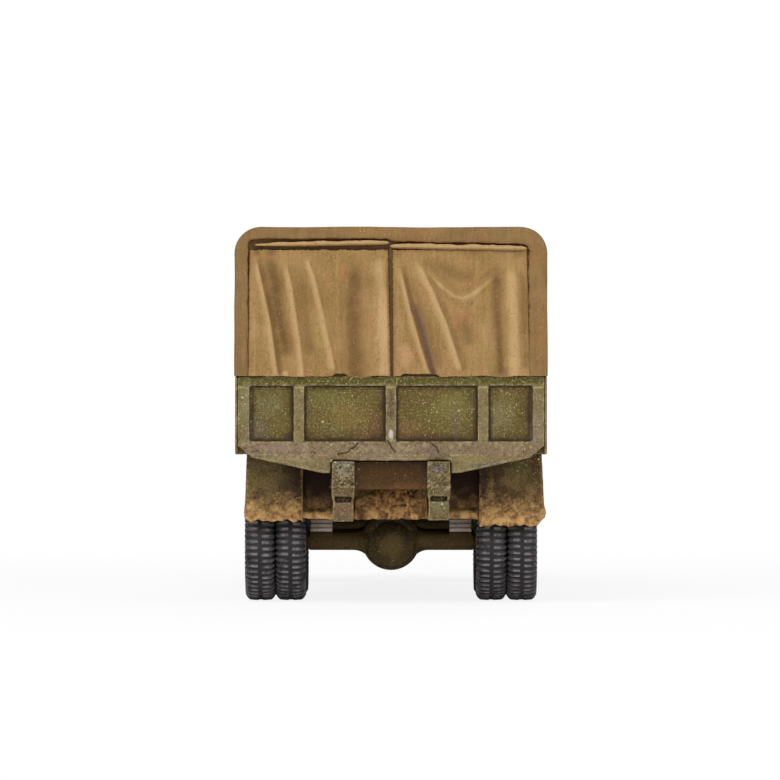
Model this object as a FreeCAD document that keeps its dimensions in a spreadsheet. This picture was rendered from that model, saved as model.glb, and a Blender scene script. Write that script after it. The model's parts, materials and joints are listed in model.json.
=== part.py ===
import FreeCAD, Part
import math
import os
import Sketcher

# A 1:72 scale model of a 1940s six-wheeled military cargo truck: a painted casting with a tilt over a ribbed
# cargo body, a closed cab, and wheels that turn on the pins of its three axles.
# Millimetres at model size. +Y is forward, +X is the truck's right side, +Z is up, and the tyres stand on Z = 0.

V = FreeCAD.Vector
doc = FreeCAD.newDocument("cargo_truck_model")

SIZES = (
    # tyres and wheels
    ("tyre_radius", 6.0, "outside radius of every tyre"),
    ("tyre_width", 3.05, "width of one tyre"),
    ("tyre_round", 0.55, "bevel of a tyre's shoulders"),
    ("bead_radius", 3.6, "where the tyre meets its rim"),
    ("bead_inset", 0.3, "how far the bead stands in from the sidewall"),
    ("twin_groove", 0.75, "depth of the groove between twin tyres"),
    ("rim_thick", 0.35, "wall of the rim's ring and disc"),
    ("disc_set", 0.75, "how far a single wheel's disc stands in at its hub"),
    ("disc_dish", 0.35, "how much further it stands in at its ring"),
    ("twin_disc", 0.2, "disc of a twin wheel, from the middle of the pair"),
    ("single_hub_out", 0.25, "how far a single wheel's hub stands out of its tyre"),
    ("twin_hub_in", 0.4, "how far a twin wheel's hub stays inside its tyre"),
    ("hub_radius", 1.45, "hub of each wheel"),
    ("hand_hole", 0.42, "radius of the holes in a wheel disc"),
    ("pin_radius", 0.8, "axle pin that a wheel turns on"),
    ("pin_play", 0.05, "radial clearance of a wheel on its pin"),
    ("wheel_gap", 0.3, "from a wheel's inner face to the axle beam"),
    # axles
    ("front_axle_y", 34.6, "front axle line"),
    ("front_wheel_x", 11.1, "centre of a front tyre"),
    ("bogie_y", -23.2, "middle of the rear bogie"),
    ("bogie_base", 15.5, "distance between the two rear axles"),
    ("twin_inner_x", 8.55, "inner face of the twin tyres"),
    ("beam_radius", 0.9, "axle beam"),
    ("bowl_radius", 2.9, "differential bowl of a rear axle"),
    ("bowl_half", 1.4, "half the bowl's depth"),
    ("cover_radius", 2.05, "domed cover on the bowl"),
    ("cover_rise", 1.0, "how far the cover stands out"),
    ("front_bowl_radius", 2.1, "differential bowl of the front axle"),
    ("knuckle_radius", 1.4, "steering knuckle of the front axle"),
    ("knuckle_x", 8.0, "centre of a steering knuckle"),
    ("pad_half", 0.8, "half length of the pad under a bogie spring"),
    # frame and springs
    ("rail_out", 5.9, "outside face of a frame rail"),
    ("rail_wide", 1.1, "width of a frame rail"),
    ("rail_low", 11.4, "underside of the rails"),
    ("rail_top", 14.2, "top of the rails"),
    ("rail_rear", -43.6, "rear end of the rails"),
    ("cross_half", 0.5, "half the thickness of a cross member"),
    ("leaf_thick", 0.32, "thickness of a spring leaf"),
    ("rear_leaf_wide", 2.2, "width of a bogie spring"),
    ("rear_leaf_half", 9.6, "half length of the longest bogie leaf"),
    ("rear_leaf_low", 8.3, "underside of the bogie spring at its middle"),
    ("rear_leaf_arc", 36.0, "radius of the bogie spring"),
    ("front_leaf_half", 7.4, "half length of the longest front leaf"),
    ("front_leaf_arc", 13.4, "radius of the front spring"),
    ("spring_seat", 0.12, "clearance of a spring over its axle"),
    ("clamp_half", 1.5, "half length of the clamp round a bogie spring"),
    ("clamp_under", 0.5, "how far the clamp reaches under the spring"),
    ("clamp_drop", 1.2, "how far the clamp ends below the top of the rails"),
    ("shackle_half", 0.45, "half length of a front spring's shackle"),
    ("shackle_set", 0.5, "how far a shackle stands in from the leaf's end"),
    ("shackle_under", 0.8, "how far a shackle reaches under the leaf"),
    # bumpers
    ("front_end", 45.2, "front face of the bumper"),
    ("bumper_thick", 0.9, "bumper section"),
    ("bumper_half", 14.2, "half width of the bumper"),
    ("bumper_low", 9.8, "underside of the bumper"),
    ("bumper_top", 12.8, "top of the bumper"),
    ("hook_high", 1.1, "height of a tow hook"),
    ("hook_foot", 0.5, "thickness of a tow hook's foot"),
    ("hook_bar", 0.3, "thickness of its upright, and how far that stands in from the bumper's face"),
    ("hook_arc", 0.8, "curve of its front"),
    ("rear_end", -45.2, "rearmost point of the bumperettes"),
    ("bumperette_x", 4.72, "middle of a bumperette"),
    ("bumperette_half", 1.12, "half width of a bumperette"),
    ("bumperette_low", 8.4, "underside of a bumperette"),
    ("nose_set", 0.3, "how far a bumperette's upper face stands in from its nose"),
    ("nose_foot_set", 0.1, "how far its lower face stands in"),
    ("nose_top", 12.6, "upper edge of the nose"),
    ("nose_z", 11.5, "height where the nose stands out furthest"),
    ("slot_top", 10.75, "top of the slot under the nose"),
    ("slot_low", 10.25, "bottom of the slot"),
    ("slot_deep", 0.7, "depth of the slot"),
    ("slot_end", 0.22, "wall left at each end of the slot"),
    # cargo body
    ("bed_half", 15.4, "outside face of the side boards"),
    ("bed_rear", -44.4, "outside face of the tailgate"),
    ("bed_front", 3.6, "front face of the headboard"),
    ("board_thick", 0.9, "side board, headboard and tailgate"),
    ("floor_low", 14.88, "underside of the cargo floor"),
    ("floor_thick", 0.75, "cargo floor"),
    ("board_top", 22.63, "top edge of the boards"),
    ("board_lip", 0.25, "how far the tailgate stands in from the side boards' outside"),
    ("panel_deep", 0.35, "depth of the pressed panels"),
    ("panel_low", 16.2, "bottom of the pressed panels"),
    ("panel_top", 21.64, "top of the pressed panels"),
    ("rib_half", 0.55, "half width of a rib between panels"),
    ("gate_rib_x", 9.1, "outer ribs of the tailgate"),
    ("gate_post", 1.4, "end posts of the tailgate"),
    ("side_post", 1.0, "end posts of a side board"),
    ("bolster_short", 1.5, "how far a bolster ends inside the side boards' face"),
    ("bolster_tip", 0.35, "depth of a bolster at its tip"),
    ("bolster_low", 12.95, "deepest point of a bolster"),
    ("bolster_knee", 6.7, "where a bolster starts to taper"),
    ("bolster_thick", 1.0, "thickness of a bolster"),
    ("gate_set", 0.1, "how far the side boards end in front of the tailgate's face"),
    # tilt
    ("tilt_over", 0.1, "how far the tilt hangs outside the side boards"),
    ("tilt_top", 37.44, "top of the tilt"),
    ("tilt_round", 2.8, "corner radius of the tilt"),
    ("tilt_wall", 0.8, "wall of the tilt"),
    ("end_thick", 0.75, "rear panel of the tilt"),
    ("end_proud", 0.2, "how far the rear panel stands behind the tailgate"),
    ("end_recess", 0.4, "recess that the flaps hang in"),
    ("end_band", 1.4, "band left over the recess"),
    ("band_left", 1.45, "band left outside the left flap"),
    ("band_right", 1.95, "band left outside the right flap"),
    ("flap_gap", 0.12, "half the gap between the two flaps"),
    ("flap_thick", 0.3, "thinnest part of a flap"),
    ("fold_deep", 0.25, "height of the folds on a flap"),
    ("roll_radius", 0.38, "rolled top edge of a flap"),
    ("roll_set_left", 0.1, "left roll under the top of the recess"),
    ("roll_set_right", 0.4, "right roll under the top of the recess"),
    ("roll_short", 0.3, "how far a roll ends inside its flap"),
    ("flap_clear", 0.1, "flaps over the tailgate's top edge"),
    # apron behind the rear wheels
    ("apron_over", 0.3, "how far the apron reaches beyond the twin tyres"),
    ("apron_front", -37.4, "front face of the apron"),
    ("apron_web", 0.6, "thin back wall of the apron"),
    ("apron_rear", -40.0, "rear face of the mud flaps"),
    ("flap_inner_x", 8.75, "inner edge of a mud flap"),
    ("mud_flap_low", 8.0, "bottom edge of the mud flaps"),
    ("apron_low", 8.6, "bottom edge between the flaps"),
    ("apron_centre", 3.55, "half width of the middle block"),
    ("rail_clear", 0.05, "clearance of the apron round a frame rail"),
    # cab
    ("cab_rear", 8.2, "rear face of the cab"),
    ("cab_front", 24.6, "front face of the cowl"),
    ("cab_half", 11.8, "half width at the belt"),
    ("cab_wall", 0.7, "wall of the cab"),
    ("belt_top", 22.4, "belt line"),
    ("roof_half", 10.4, "half width at the roof's edge"),
    ("roof_edge", 30.9, "height of the roof's edge"),
    ("roof_top", 32.8, "top of the roof"),
    ("cowl_top", 22.6, "top of the cowl"),
    ("cowl_half", 9.5, "half width of the cowl at its front"),
    ("screen_foot", 23.4, "foot of the windscreen"),
    ("screen_head", 21.4, "head of the windscreen"),
    ("roof_drop", 2.5, "from the top of the roof down to its joint with the walls"),
    ("cab_rise", 1.0, "how far the cab reaches down over the rails"),
    ("cab_corner", 1.7, "rear corners of the cab"),
    ("cowl_fall", 0.4, "how much lower the cowl's front edge lies"),
    ("cowl_rise", 0.3, "how much higher the foot of the windscreen lies"),
    ("cowl_start", 0.6, "from the front edge of a door to where the cowl draws in"),
    ("brow_long", 2.4, "length of the roof's front curve"),
    ("brow_arc", 3.2, "radius of the roof's front curve"),
    ("tail_long", 2.6, "length of the roof's rear curve"),
    ("tail_drop", 2.2, "height of the roof's rear curve"),
    ("tail_arc", 3.0, "radius of the roof's rear curve"),
    ("eave_wide", 2.2, "width of the roof's side curve"),
    ("eave_drop", 0.35, "how much lower the roof lies at its side curve"),
    ("eave_arc", 2.9, "radius of the roof's side curve"),
    ("roof_crown", 95.0, "radius of the roof across the cab"),
    ("door_rear", 10.8, "rear edge of a door"),
    ("door_front", 20.4, "front edge of a door"),
    ("door_gap", 0.06, "half the gap round a door"),
    ("pane_low", 23.7, "lower edge of the windows"),
    ("pane_head", 0.7, "from the windows up to the roof's joint"),
    ("pane_round", 0.55, "corner radius of a window"),
    ("pane_border", 0.9, "frame round a door window"),
    ("pane_out", 8.6, "outer edge of a windscreen pane"),
    ("pillar_half", 0.45, "half width of the windscreen's middle pillar"),
    ("back_pane_half", 3.4, "half width of the rear window"),
    ("back_pane_up", 0.6, "rear window's lower edge over that of the others"),
    ("back_pane_down", 1.0, "rear window's upper edge under that of the others"),
    ("screen_set", 0.2, "how far the glass lies behind the windscreen's face"),
    ("sill_high", 0.6, "sill under the doors"),
    ("hinge_up", 1.6, "lower hinge over the foot of its door"),
    ("handle_drop", 3.1, "handle and upper hinge under the windows"),
    ("hinge_high", 0.7, "height of a hinge"),
    ("hinge_long", 1.0, "length of a hinge"),
    ("handle_high", 0.4, "height of a door handle"),
    ("handle_long", 1.4, "length of a door handle"),
    ("handle_set", 0.5, "handle from the rear edge of its door"),
    ("handle_out", 0.3, "how far hinges and handles stand out"),
    ("glass_thick", 0.25, "windscreen glass"),
    ("cab_floor_thick", 0.7, "cab floor"),
    # bonnet, radiator, guard, lamps
    ("bonnet_rear_half", 9.2, "half width of the bonnet at the cowl"),
    ("bonnet_rear_top", 22.3, "top of the bonnet at the cowl"),
    ("bonnet_front", 40.0, "front end of the bonnet"),
    ("bonnet_front_half", 6.1, "half width of the bonnet at the radiator"),
    ("bonnet_front_top", 21.2, "top of the bonnet at the radiator"),
    ("bonnet_round", 2.2, "shoulder radius of the bonnet"),
    ("bonnet_crown", 30.0, "radius of the bonnet's crown"),
    ("bonnet_wall", 0.6, "wall of the bonnet"),
    ("radiator_thick", 1.3, "radiator shell"),
    ("radiator_frame", 0.7, "frame left round the radiator's core"),
    ("core_deep", 0.4, "how far the core is let in"),
    ("fin_half", 0.14, "half width of a radiator bar"),
    ("fin_set", 0.1, "how far the bars stand in from the shell's face"),
    ("louvre_first", 3.2, "first louvre in front of the cowl"),
    ("louvre_step", 1.1, "distance from louvre to louvre"),
    ("louvre_wide", 0.45, "width of a louvre"),
    ("louvre_up", 2.6, "louvres over the foot of the bonnet"),
    ("louvre_down", 3.4, "louvres under the bonnet's rear top"),
    ("louvre_deep", 0.25, "depth of a louvre"),
    ("guard_bar", 0.42, "section of a guard bar"),
    ("guard_top", 21.4, "top of the guard"),
    ("guard_half", 5.85, "half width of the guard's middle part"),
    ("guard_up", 0.6, "foot of the guard's bars over the bumper's underside"),
    ("wing_half", 11.2, "half width of the guard over the lamps"),
    ("wing_low", 14.9, "lower bar of the lamp guards"),
    ("wing_top", 19.9, "upper bar of the lamp guards"),
    ("lamp_x", 8.6, "middle of a headlamp"),
    ("lamp_y", 41.2, "rim plane of a headlamp"),
    ("lamp_z", 17.5, "height of a headlamp"),
    ("lamp_radius", 1.3, "headlamp"),
    ("lamp_deep", 1.5, "depth of a headlamp"),
    ("stalk_radius", 0.35, "stalk of a headlamp"),
    ("lens_arc", 3.2, "curve of a headlamp's glass"),
    ("lamp_rim", 0.35, "width of a headlamp's rim"),
    # wings and running boards
    ("arch_radius", 6.5, "outside radius of a front wing"),
    ("arch_low", 9.6, "lower edge of a front wing"),
    ("arch_flat", 2.5, "half the flat top of a front wing"),
    ("arch_middle", 34.0, "middle of a front wing"),
    ("wing_thick", 0.6, "sheet of the wings and running boards"),
    ("wing_out", 14.5, "outer edge of the wings and running boards"),
    ("wing_in", 6.15, "inner edge of a front wing"),
    ("step_in", 9.0, "inner edge of a running board"),
    ("step_rear", 9.0, "rear end of a running board"),
    ("step_up", 0.9, "running boards over the wings' lower edge"),
    ("step_lap", 0.6, "how far a running board reaches into the wing's foot"),
    ("lip_wide", 0.4, "lip of a running board"),
    ("lip_deep", 0.7, "depth of that lip"),
    ("arm_wide", 0.8, "arm under a running board"),
    ("arm_deep", 0.5, "depth of an arm"),
    ("arm_short", 1.0, "how far an arm ends inside the running board"),
    # inside the cab
    ("seat_half", 8.6, "half width of the bench seat"),
    ("seat_top", 18.4, "top of the seat cushion"),
    ("seat_back_top", 24.0, "top of the seat back"),
    ("seat_deep", 6.0, "depth of the cushion"),
    ("wheel_ring", 2.7, "steering wheel"),
    ("wheel_wire", 0.3, "rim of the steering wheel"),
    ("driver_x", -5.0, "driver's side"),
    ("seat_gap", 0.3, "seat in front of the cab's rear wall"),
    ("seat_back_thick", 1.3, "back of the seat"),
    ("column_long", 9.6, "steering column"),
    ("column_sunk", 0.6, "how far the column starts under the floor"),
    # engine and drive line
    ("engine_half", 2.7, "half width of the engine"),
    ("engine_rear", 26.5, "rear of the engine"),
    ("engine_front", 37.5, "front of the engine"),
    ("engine_low", 10.4, "underside of the engine"),
    ("engine_top", 19.0, "top of the engine"),
    ("gearbox_half", 1.6, "half width of the gearbox"),
    ("gearbox_rear", 17.0, "rear of the gearbox"),
    ("gearbox_top", 13.4, "top of the gearbox"),
    ("transfer_half", 2.8, "half width of the transfer case"),
    ("transfer_rear", -1.0, "rear of the transfer case"),
    ("transfer_front", 4.5, "front of the transfer case"),
    ("transfer_low", 6.8, "underside of the transfer case"),
    ("shaft_radius", 0.35, "propeller shafts"),
    ("joint_radius", 0.6, "joints of the propeller shafts"),
    ("joint_long", 1.0, "length of a joint"),
    ("shaft_clear", 0.05, "lower shafts over the underside of the transfer case"),
    ("mount_set", 0.6, "engine mounts from the ends of the engine"),
    ("mount_long", 1.0, "length of an engine mount"),
    ("mount_up", 0.4, "engine mounts over the underside of the rails"),
    ("mount_thick", 0.8, "thickness of an engine mount"),
    # tank, locker and spare wheel
    ("tank_in", 6.6, "inner face of the fuel tank and the locker"),
    ("tank_out", 13.4, "outer face of the fuel tank and the locker"),
    ("tank_rear", -8.0, "rear of the fuel tank and the locker"),
    ("tank_front", 2.6, "front of the fuel tank and the locker"),
    ("tank_low", 6.9, "underside of the fuel tank and the locker"),
    ("tank_top", 12.6, "top of the fuel tank and the locker"),
    ("tank_round", 1.0, "corner radius of the fuel tank"),
    ("strap_wide", 0.7, "tank strap"),
    ("strap_thick", 0.16, "tank strap"),
    ("strap_set", 2.0, "straps and hangers from the ends of the tank"),
    ("hanger_lap", 0.3, "how far a hanger reaches into the tank or the locker"),
    ("hanger_under", 0.6, "how far a hanger reaches under the rails"),
    ("hanger_over", 0.8, "how far a hanger reaches up the rail"),
    ("filler_radius", 0.55, "filler cap"),
    ("filler_high", 0.3, "height of the filler cap"),
    ("filler_in", 1.6, "filler cap from the outer face of the tank"),
    ("filler_back", 1.4, "filler cap from the front of the tank"),
    ("locker_short", 1.0, "how much shorter the locker is at its rear"),
    ("locker_front_short", 0.6, "how much shorter it is in front"),
    ("lid_border", 0.6, "border round the locker's lid"),
    ("lid_out", 0.2, "how far the lid stands out, and the latch again"),
    ("latch_half", 0.4, "half length of the locker's latch"),
    ("latch_high", 0.6, "height of the latch"),
    ("latch_drop", 1.0, "latch under the top of the locker"),
    ("spare_x", -6.4, "middle of the spare wheel"),
    ("spare_y", 5.85, "middle of the spare wheel"),
    ("carrier_base", 0.5, "foot of the spare wheel carrier"),
    ("carrier_post", 0.5, "thickness of the spare wheel carrier's post"),
    ("carrier_long", 4.5, "how far the carrier reaches outside the middle of the wheel"),
    ("post_half", 0.6, "half width of the post"),
    ("post_over", 0.8, "how far the post reaches over the middle of the wheel"),
    ("bolt_radius", 0.6, "bolt that holds the spare wheel"),
    ("spare_clear", 0.05, "clearance of the spare wheel"),
)

sheet = doc.addObject("Spreadsheet::Sheet", "Sizes")


class Size:
    """A length with its value and the sheet expression that gives it."""

    def __init__(self, value, text=None):
        self.value = float(value)
        self.text = text or repr(float(value))

    def __float__(self):
        return self.value

    def __add__(self, other):
        return Size(self.value + float(other), f"({self.text} + {text_of(other)})")

    def __sub__(self, other):
        return Size(self.value - float(other), f"({self.text} - {text_of(other)})")

    def __mul__(self, other):
        return Size(self.value * float(other), f"({self.text} * {text_of(other)})")

    def __truediv__(self, other):
        return Size(self.value / float(other), f"({self.text} / {text_of(other)})")

    def __radd__(self, other):
        return Size(other) + self

    def __rsub__(self, other):
        return Size(other) - self

    def __rmul__(self, other):
        return Size(other) * self

    def __neg__(self):
        return Size(-self.value, f"(0 - {self.text})")


def text_of(size):
    return size.text if isinstance(size, Size) else repr(float(size))


def root(size):
    return Size(math.sqrt(size.value), f"sqrt({size.text})")


class Sheet:
    """The driving dimensions by name."""


PAST = 1  # how far a cutting block reaches past what it cuts


s = Sheet()
for row, (alias, value, meaning) in enumerate(SIZES, start=1):
    sheet.set(f"A{row}", alias)
    sheet.set(f"B{row}", str(value))
    sheet.set(f"C{row}", meaning)
    sheet.setAlias(f"B{row}", alias)
    setattr(s, alias, Size(value, f"Sizes.{alias}"))
doc.recompute()


# ---- how shapes are made ----


def bind(obj, prop, size):
    obj.setExpression(prop, text_of(size))


def place(obj, x=0, y=0, z=0, axis=V(0, 0, 1), angle=0):
    obj.Placement = FreeCAD.Placement(V(float(x), float(y), float(z)), FreeCAD.Rotation(axis, angle))
    for key, size in (("x", x), ("y", y), ("z", z)):
        bind(obj, f"Placement.Base.{key}", size)
    return obj


def block(name, x, y, z):
    """A box between the low and high values of x, y and z."""
    box = doc.addObject("Part::Box", name)
    for prop, (low, high) in (("Length", x), ("Width", y), ("Height", z)):
        bind(box, prop, high - low)
    return place(box, x[0], y[0], z[0])


def rod(name, along, x, y, z, radius, length):
    """A cylinder that starts at x, y, z and runs along X, Y or Z."""
    turn = {"X": (V(0, 1, 0), 90), "Y": (V(1, 0, 0), -90), "Z": (V(0, 0, 1), 0)}[along]
    cylinder = doc.addObject("Part::Cylinder", name)
    bind(cylinder, "Radius", radius)
    bind(cylinder, "Height", length)
    return place(cylinder, x, y, z, *turn)


def draw(sketch, points):
    """A closed outline. A point with a third value is reached by an arc of that radius, which bulges to the
    right of the way there, or to the left if the radius is negative."""
    lines = []
    for i, start in enumerate(points):
        end = points[(i + 1) % len(points)]
        a, b = (V(float(p[0]), float(p[1]), 0) for p in (start, end))
        if len(end) == 2:
            lines.append((sketch.addGeometry(Part.LineSegment(a, b)), 1, 2))
            continue
        radius, half = float(end[2]), (b - a).Length / 2
        side = V(b.y - a.y, a.x - b.x, 0).normalize()
        rise = abs(radius) - math.sqrt(radius * radius - half * half)
        arc = sketch.addGeometry(Part.Arc(a, (a + b) / 2 + side * math.copysign(rise, radius), b))
        forward = (sketch.getPoint(arc, 1) - a).Length < (sketch.getPoint(arc, 2) - a).Length
        lines.append((arc, 1, 2) if forward else (arc, 2, 1))
    for i, (line, _, last) in enumerate(lines):
        following, first, _ = lines[(i + 1) % len(lines)]
        sketch.addConstraint(Sketcher.Constraint("Coincident", line, last, following, first))
    for (line, first, _), point, target in zip(lines, points, points[1:] + points[:1]):
        for kind, size in (("DistanceX", point[0]), ("DistanceY", point[1])):
            made = sketch.addConstraint(Sketcher.Constraint(kind, line, first, float(size)))
            bind(sketch, f"Constraints[{made}]", size)
        if len(target) == 3:
            radius = target[2] if float(target[2]) > 0 else 0 - target[2]
            made = sketch.addConstraint(Sketcher.Constraint("Radius", line, float(radius)))
            bind(sketch, f"Constraints[{made}]", radius)


def body_sketch(name, plane, points):
    body = doc.addObject("PartDesign::Body", name)
    sketch = body.newObject("Sketcher::SketchObject", name + "_sketch")
    face = [f for f in body.Origin.OriginFeatures if f.Role == plane + "_Plane"][0]
    sketch.AttachmentSupport = [(face, "")]
    sketch.MapMode = "FlatFace"
    draw(sketch, points)
    return body, sketch


def prism(name, plane, points, low, high):
    """An outline in the XY, XZ or YZ plane, padded from low to high along the third axis."""
    body, sketch = body_sketch(name, plane, points)
    bind(sketch, "AttachmentOffset.Base.z", 0 - high if plane == "XZ" else low)
    pad = body.newObject("PartDesign::Pad", name + "_pad")
    pad.Profile = sketch
    bind(pad, "Length", high - low)
    return body


def turned(name, points):
    """An outline of (along, radius) points, turned about the body's own X axis."""
    body, sketch = body_sketch(name, "XY", points)
    turn = body.newObject("PartDesign::Revolution", name + "_turn")
    turn.Profile = sketch
    turn.ReferenceAxis = (sketch, ["H_Axis"])
    turn.Angle = 360
    return body


def loft(name, plane, sections):
    """A solid through outlines in XZ planes, each given with its y, or in XY planes, each with its z."""
    sketches = []
    for i, (level, points) in enumerate(sections):
        sketch = doc.addObject("Sketcher::SketchObject", f"{name}_section{i}")
        draw(sketch, points)
        at = (0, level, 0, V(1, 0, 0), 90) if plane == "XZ" else (0, 0, level)
        sketches.append(place(sketch, *at))
    made = doc.addObject("Part::Loft", name)
    made.Sections = sketches
    made.Solid = True
    return made


def fuse(name, parts):
    made = doc.addObject("Part::MultiFuse", name)
    made.Shapes = parts
    made.Refine = True
    return made


def cut(name, base, tools):
    made = doc.addObject("Part::Cut", name)
    made.Base = base
    made.Tool = tools[0] if len(tools) == 1 else fuse(name + "_tools", tools)
    return made


def common(name, parts):
    made = doc.addObject("Part::MultiCommon", name)
    made.Shapes = parts
    return made


def mirrored(name, source):
    made = doc.addObject("Part::Mirroring", name)
    made.Source = source
    made.Normal = V(1, 0, 0)
    return made


nodes = {}


def node(label, obj):
    obj.Label = label
    nodes[label] = obj
    return obj


# ---- wheels: a tyre on a rim, turned about the wheel's own X axis, with +X outwards ----

half_tyre = s.tyre_width / 2
shoulder = s.tyre_radius - s.tyre_round
ring_radius = s.bead_radius - s.rim_thick
bore_radius = s.pin_radius + s.pin_play
HAND_HOLES = 6
TYRE_SIDES = 32  # flats round a tyre, one of them at the bottom


def facets(name, levels):
    """A solid through regular polygons about the X axis. A level is a polygon's x and the radius to its flats."""
    turn = FreeCAD.Rotation(V(0, 1, 0), 90) * FreeCAD.Rotation(V(0, 0, 1), 180 / TYRE_SIDES)
    rings = []
    for i, (x, radius) in enumerate(levels):
        ring = doc.addObject("Part::RegularPolygon", f"{name}_ring{i}")
        ring.Polygon = TYRE_SIDES
        bind(ring, "Circumradius", radius / math.cos(math.pi / TYRE_SIDES))
        ring.Placement = FreeCAD.Placement(V(float(x), 0, 0), turn)
        bind(ring, "Placement.Base.x", x)
        rings.append(ring)
    made = doc.addObject("Part::Loft", name)
    made.Sections = rings
    made.Solid = True
    made.Ruled = True
    return made


def tyre(name, half, twin):
    """A tyre with dished sides, or twin tyres with a groove between them, of this half width."""
    crown = half - s.tyre_round
    bead = half - s.bead_inset
    levels = [(-half, shoulder), (-crown, s.tyre_radius)]
    if twin:
        levels += [(-s.tyre_round, s.tyre_radius), (Size(0), s.tyre_radius - s.twin_groove)]
        levels += [(s.tyre_round, s.tyre_radius)]
    levels += [(crown, s.tyre_radius), (half, shoulder)]
    dish = shoulder - s.twin_groove
    room = facets(name + "_room", [
        (-half - PAST, dish), (-half, dish), (-bead, s.bead_radius),
        (bead, s.bead_radius), (half, dish), (half + PAST, dish),
    ])
    return cut(name, facets(name + "_block", levels), [room])


def rim_outline(half, disc_hub, disc_ring, hub_out):
    """A ring, a dished disc and a hub with a blind bore, open to the inside."""
    bead = half - s.bead_inset
    cap = s.hub_radius * 0.7
    return [
        (-half, bore_radius), (hub_out - s.rim_thick, bore_radius), (hub_out - s.rim_thick, Size(0)),
        (hub_out, Size(0)), (hub_out, cap), (hub_out - s.rim_thick, s.hub_radius),
        (disc_hub + s.rim_thick, s.hub_radius), (disc_ring + s.rim_thick, ring_radius), (bead, ring_radius),
        (bead, s.bead_radius), (-bead, s.bead_radius), (-bead, ring_radius), (disc_ring, ring_radius),
        (disc_hub, s.hub_radius), (-half, s.hub_radius),
    ]


def wheel(name, centre, twin, axis=V(0, 0, 1), angle=0):
    """A tyre and a rim at centre. Their +X side faces outwards after the turn about axis."""
    half = s.tyre_width if twin else half_tyre
    disc_hub = s.twin_disc if twin else half - s.disc_set
    disc_ring = s.twin_disc if twin else disc_hub - s.disc_dish
    hub_out = half - s.twin_hub_in if twin else half + s.single_hub_out
    ring = turned(name + "_rim_body", rim_outline(half, disc_hub, disc_ring, hub_out))
    circle = (s.hub_radius + ring_radius) / 2
    holes = []
    for i in range(HAND_HOLES):
        turn = 2 * math.pi * i / HAND_HOLES
        y, z = circle * math.cos(turn), circle * math.sin(turn)
        holes.append(rod(f"{name}_hole{i}", "X", -half, y, z, s.hand_hole, half * 2))
    rim = cut(name + "_rim", ring, holes)
    for label, piece in ((name + "_tyre", tyre(name + "_tyre", half, twin)), (name + "_rim", rim)):
        node(label, place(piece, *centre, axis, angle))


mid_axle_y = s.bogie_y + s.bogie_base / 2
rear_axle_y = s.bogie_y - s.bogie_base / 2
twin_x = s.twin_inner_x + s.tyre_width

for row_name, row_y, row_x, row_twin in (
    ("front", s.front_axle_y, s.front_wheel_x, False),
    ("middle", mid_axle_y, twin_x, True),
    ("rear", rear_axle_y, twin_x, True),
):
    wheel(row_name + "_right", (row_x, row_y, s.tyre_radius), row_twin)
    wheel(row_name + "_left", (-row_x, row_y, s.tyre_radius), row_twin, angle=180)


# ---- axles: a beam with a differential bowl, and a pin for each wheel ----


def differential(name, y, radius, cover, rise, half):
    """A round bowl with a domed cover on its rear side, turned about a line along Y."""
    dome = (cover * cover + rise * rise) / (rise * 2)
    outline = [
        (-half, Size(0)), (-half, radius * 0.75), (half * -0.6, radius), (half * 0.6, radius),
        (half, radius * 0.85), (half, cover), (half + rise, Size(0), -dome),
    ]
    return place(turned(name, outline), 0, y, s.tyre_radius, V(0, 0, 1), -90)


def swelling(name, y, bowl):
    """The beam's swelling into a bowl of this radius, with hollow sides that run out along the beam."""
    reach, inner_x, inner_radius = bowl * 1.31, bowl * 0.76, bowl * 0.6
    run, rise = reach - inner_x, inner_radius - s.beam_radius
    arc = (run * run + rise * rise) / (rise * 2)
    outline = [
        (-reach, Size(0)), (reach, Size(0)), (reach, s.beam_radius), (inner_x, inner_radius, -arc),
        (-inner_x, inner_radius), (-reach, s.beam_radius, -arc),
    ]
    return place(turned(name, outline), 0, y, s.tyre_radius)


def knuckle(name, x, y):
    """A ball round the beam, with flat ends inside it."""
    half = s.knuckle_radius * 0.9
    end = root(s.knuckle_radius * s.knuckle_radius - half * half)
    outline = [(-half, Size(0)), (half, Size(0)), (half, end), (-half, end, s.knuckle_radius)]
    return place(turned(name, outline), x, y, s.tyre_radius)


def axle(label, y, beam_end, pin_end, bowl, twin):
    parts = [bowl, swelling(label + "_swelling", y, s.bowl_radius if twin else s.front_bowl_radius)]
    parts.append(rod(label + "_beam", "X", -beam_end, y, s.tyre_radius, s.beam_radius, beam_end * 2))
    parts.append(rod(label + "_pins", "X", -pin_end, y, s.tyre_radius, s.pin_radius, pin_end * 2))
    leaf_end = s.bogie_base / 2 + s.pad_half
    for side in (-1, 1):
        if twin:
            pad_top = leaf_height(s.rear_leaf_arc, s.rear_leaf_low, leaf_end) - s.spring_seat
            low, high = s.rail_out, s.rail_out + s.rear_leaf_wide
            x = (low, high) if side > 0 else (-high, -low)
            pad_y = (y - s.pad_half, y + s.pad_half)
            parts.append(block(f"{label}_pad{side}", x, pad_y, (s.tyre_radius, pad_top)))
        else:
            parts.append(knuckle(f"{label}_knuckle{side}", s.knuckle_x * side, y))
    return node(label, fuse(label, parts))


def leaf_height(radius, crown, away):
    """Height of an arched leaf's underside, this far from its middle."""
    return crown - radius + root(radius * radius - away * away)


twin_beam_end = s.twin_inner_x - s.wheel_gap
twin_pin_end = twin_x + s.tyre_width - s.twin_hub_in - s.rim_thick - s.wheel_gap
front_beam_end = s.front_wheel_x - half_tyre - s.wheel_gap
front_pin_end = s.front_wheel_x + half_tyre + s.single_hub_out - s.rim_thick - s.wheel_gap

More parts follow.
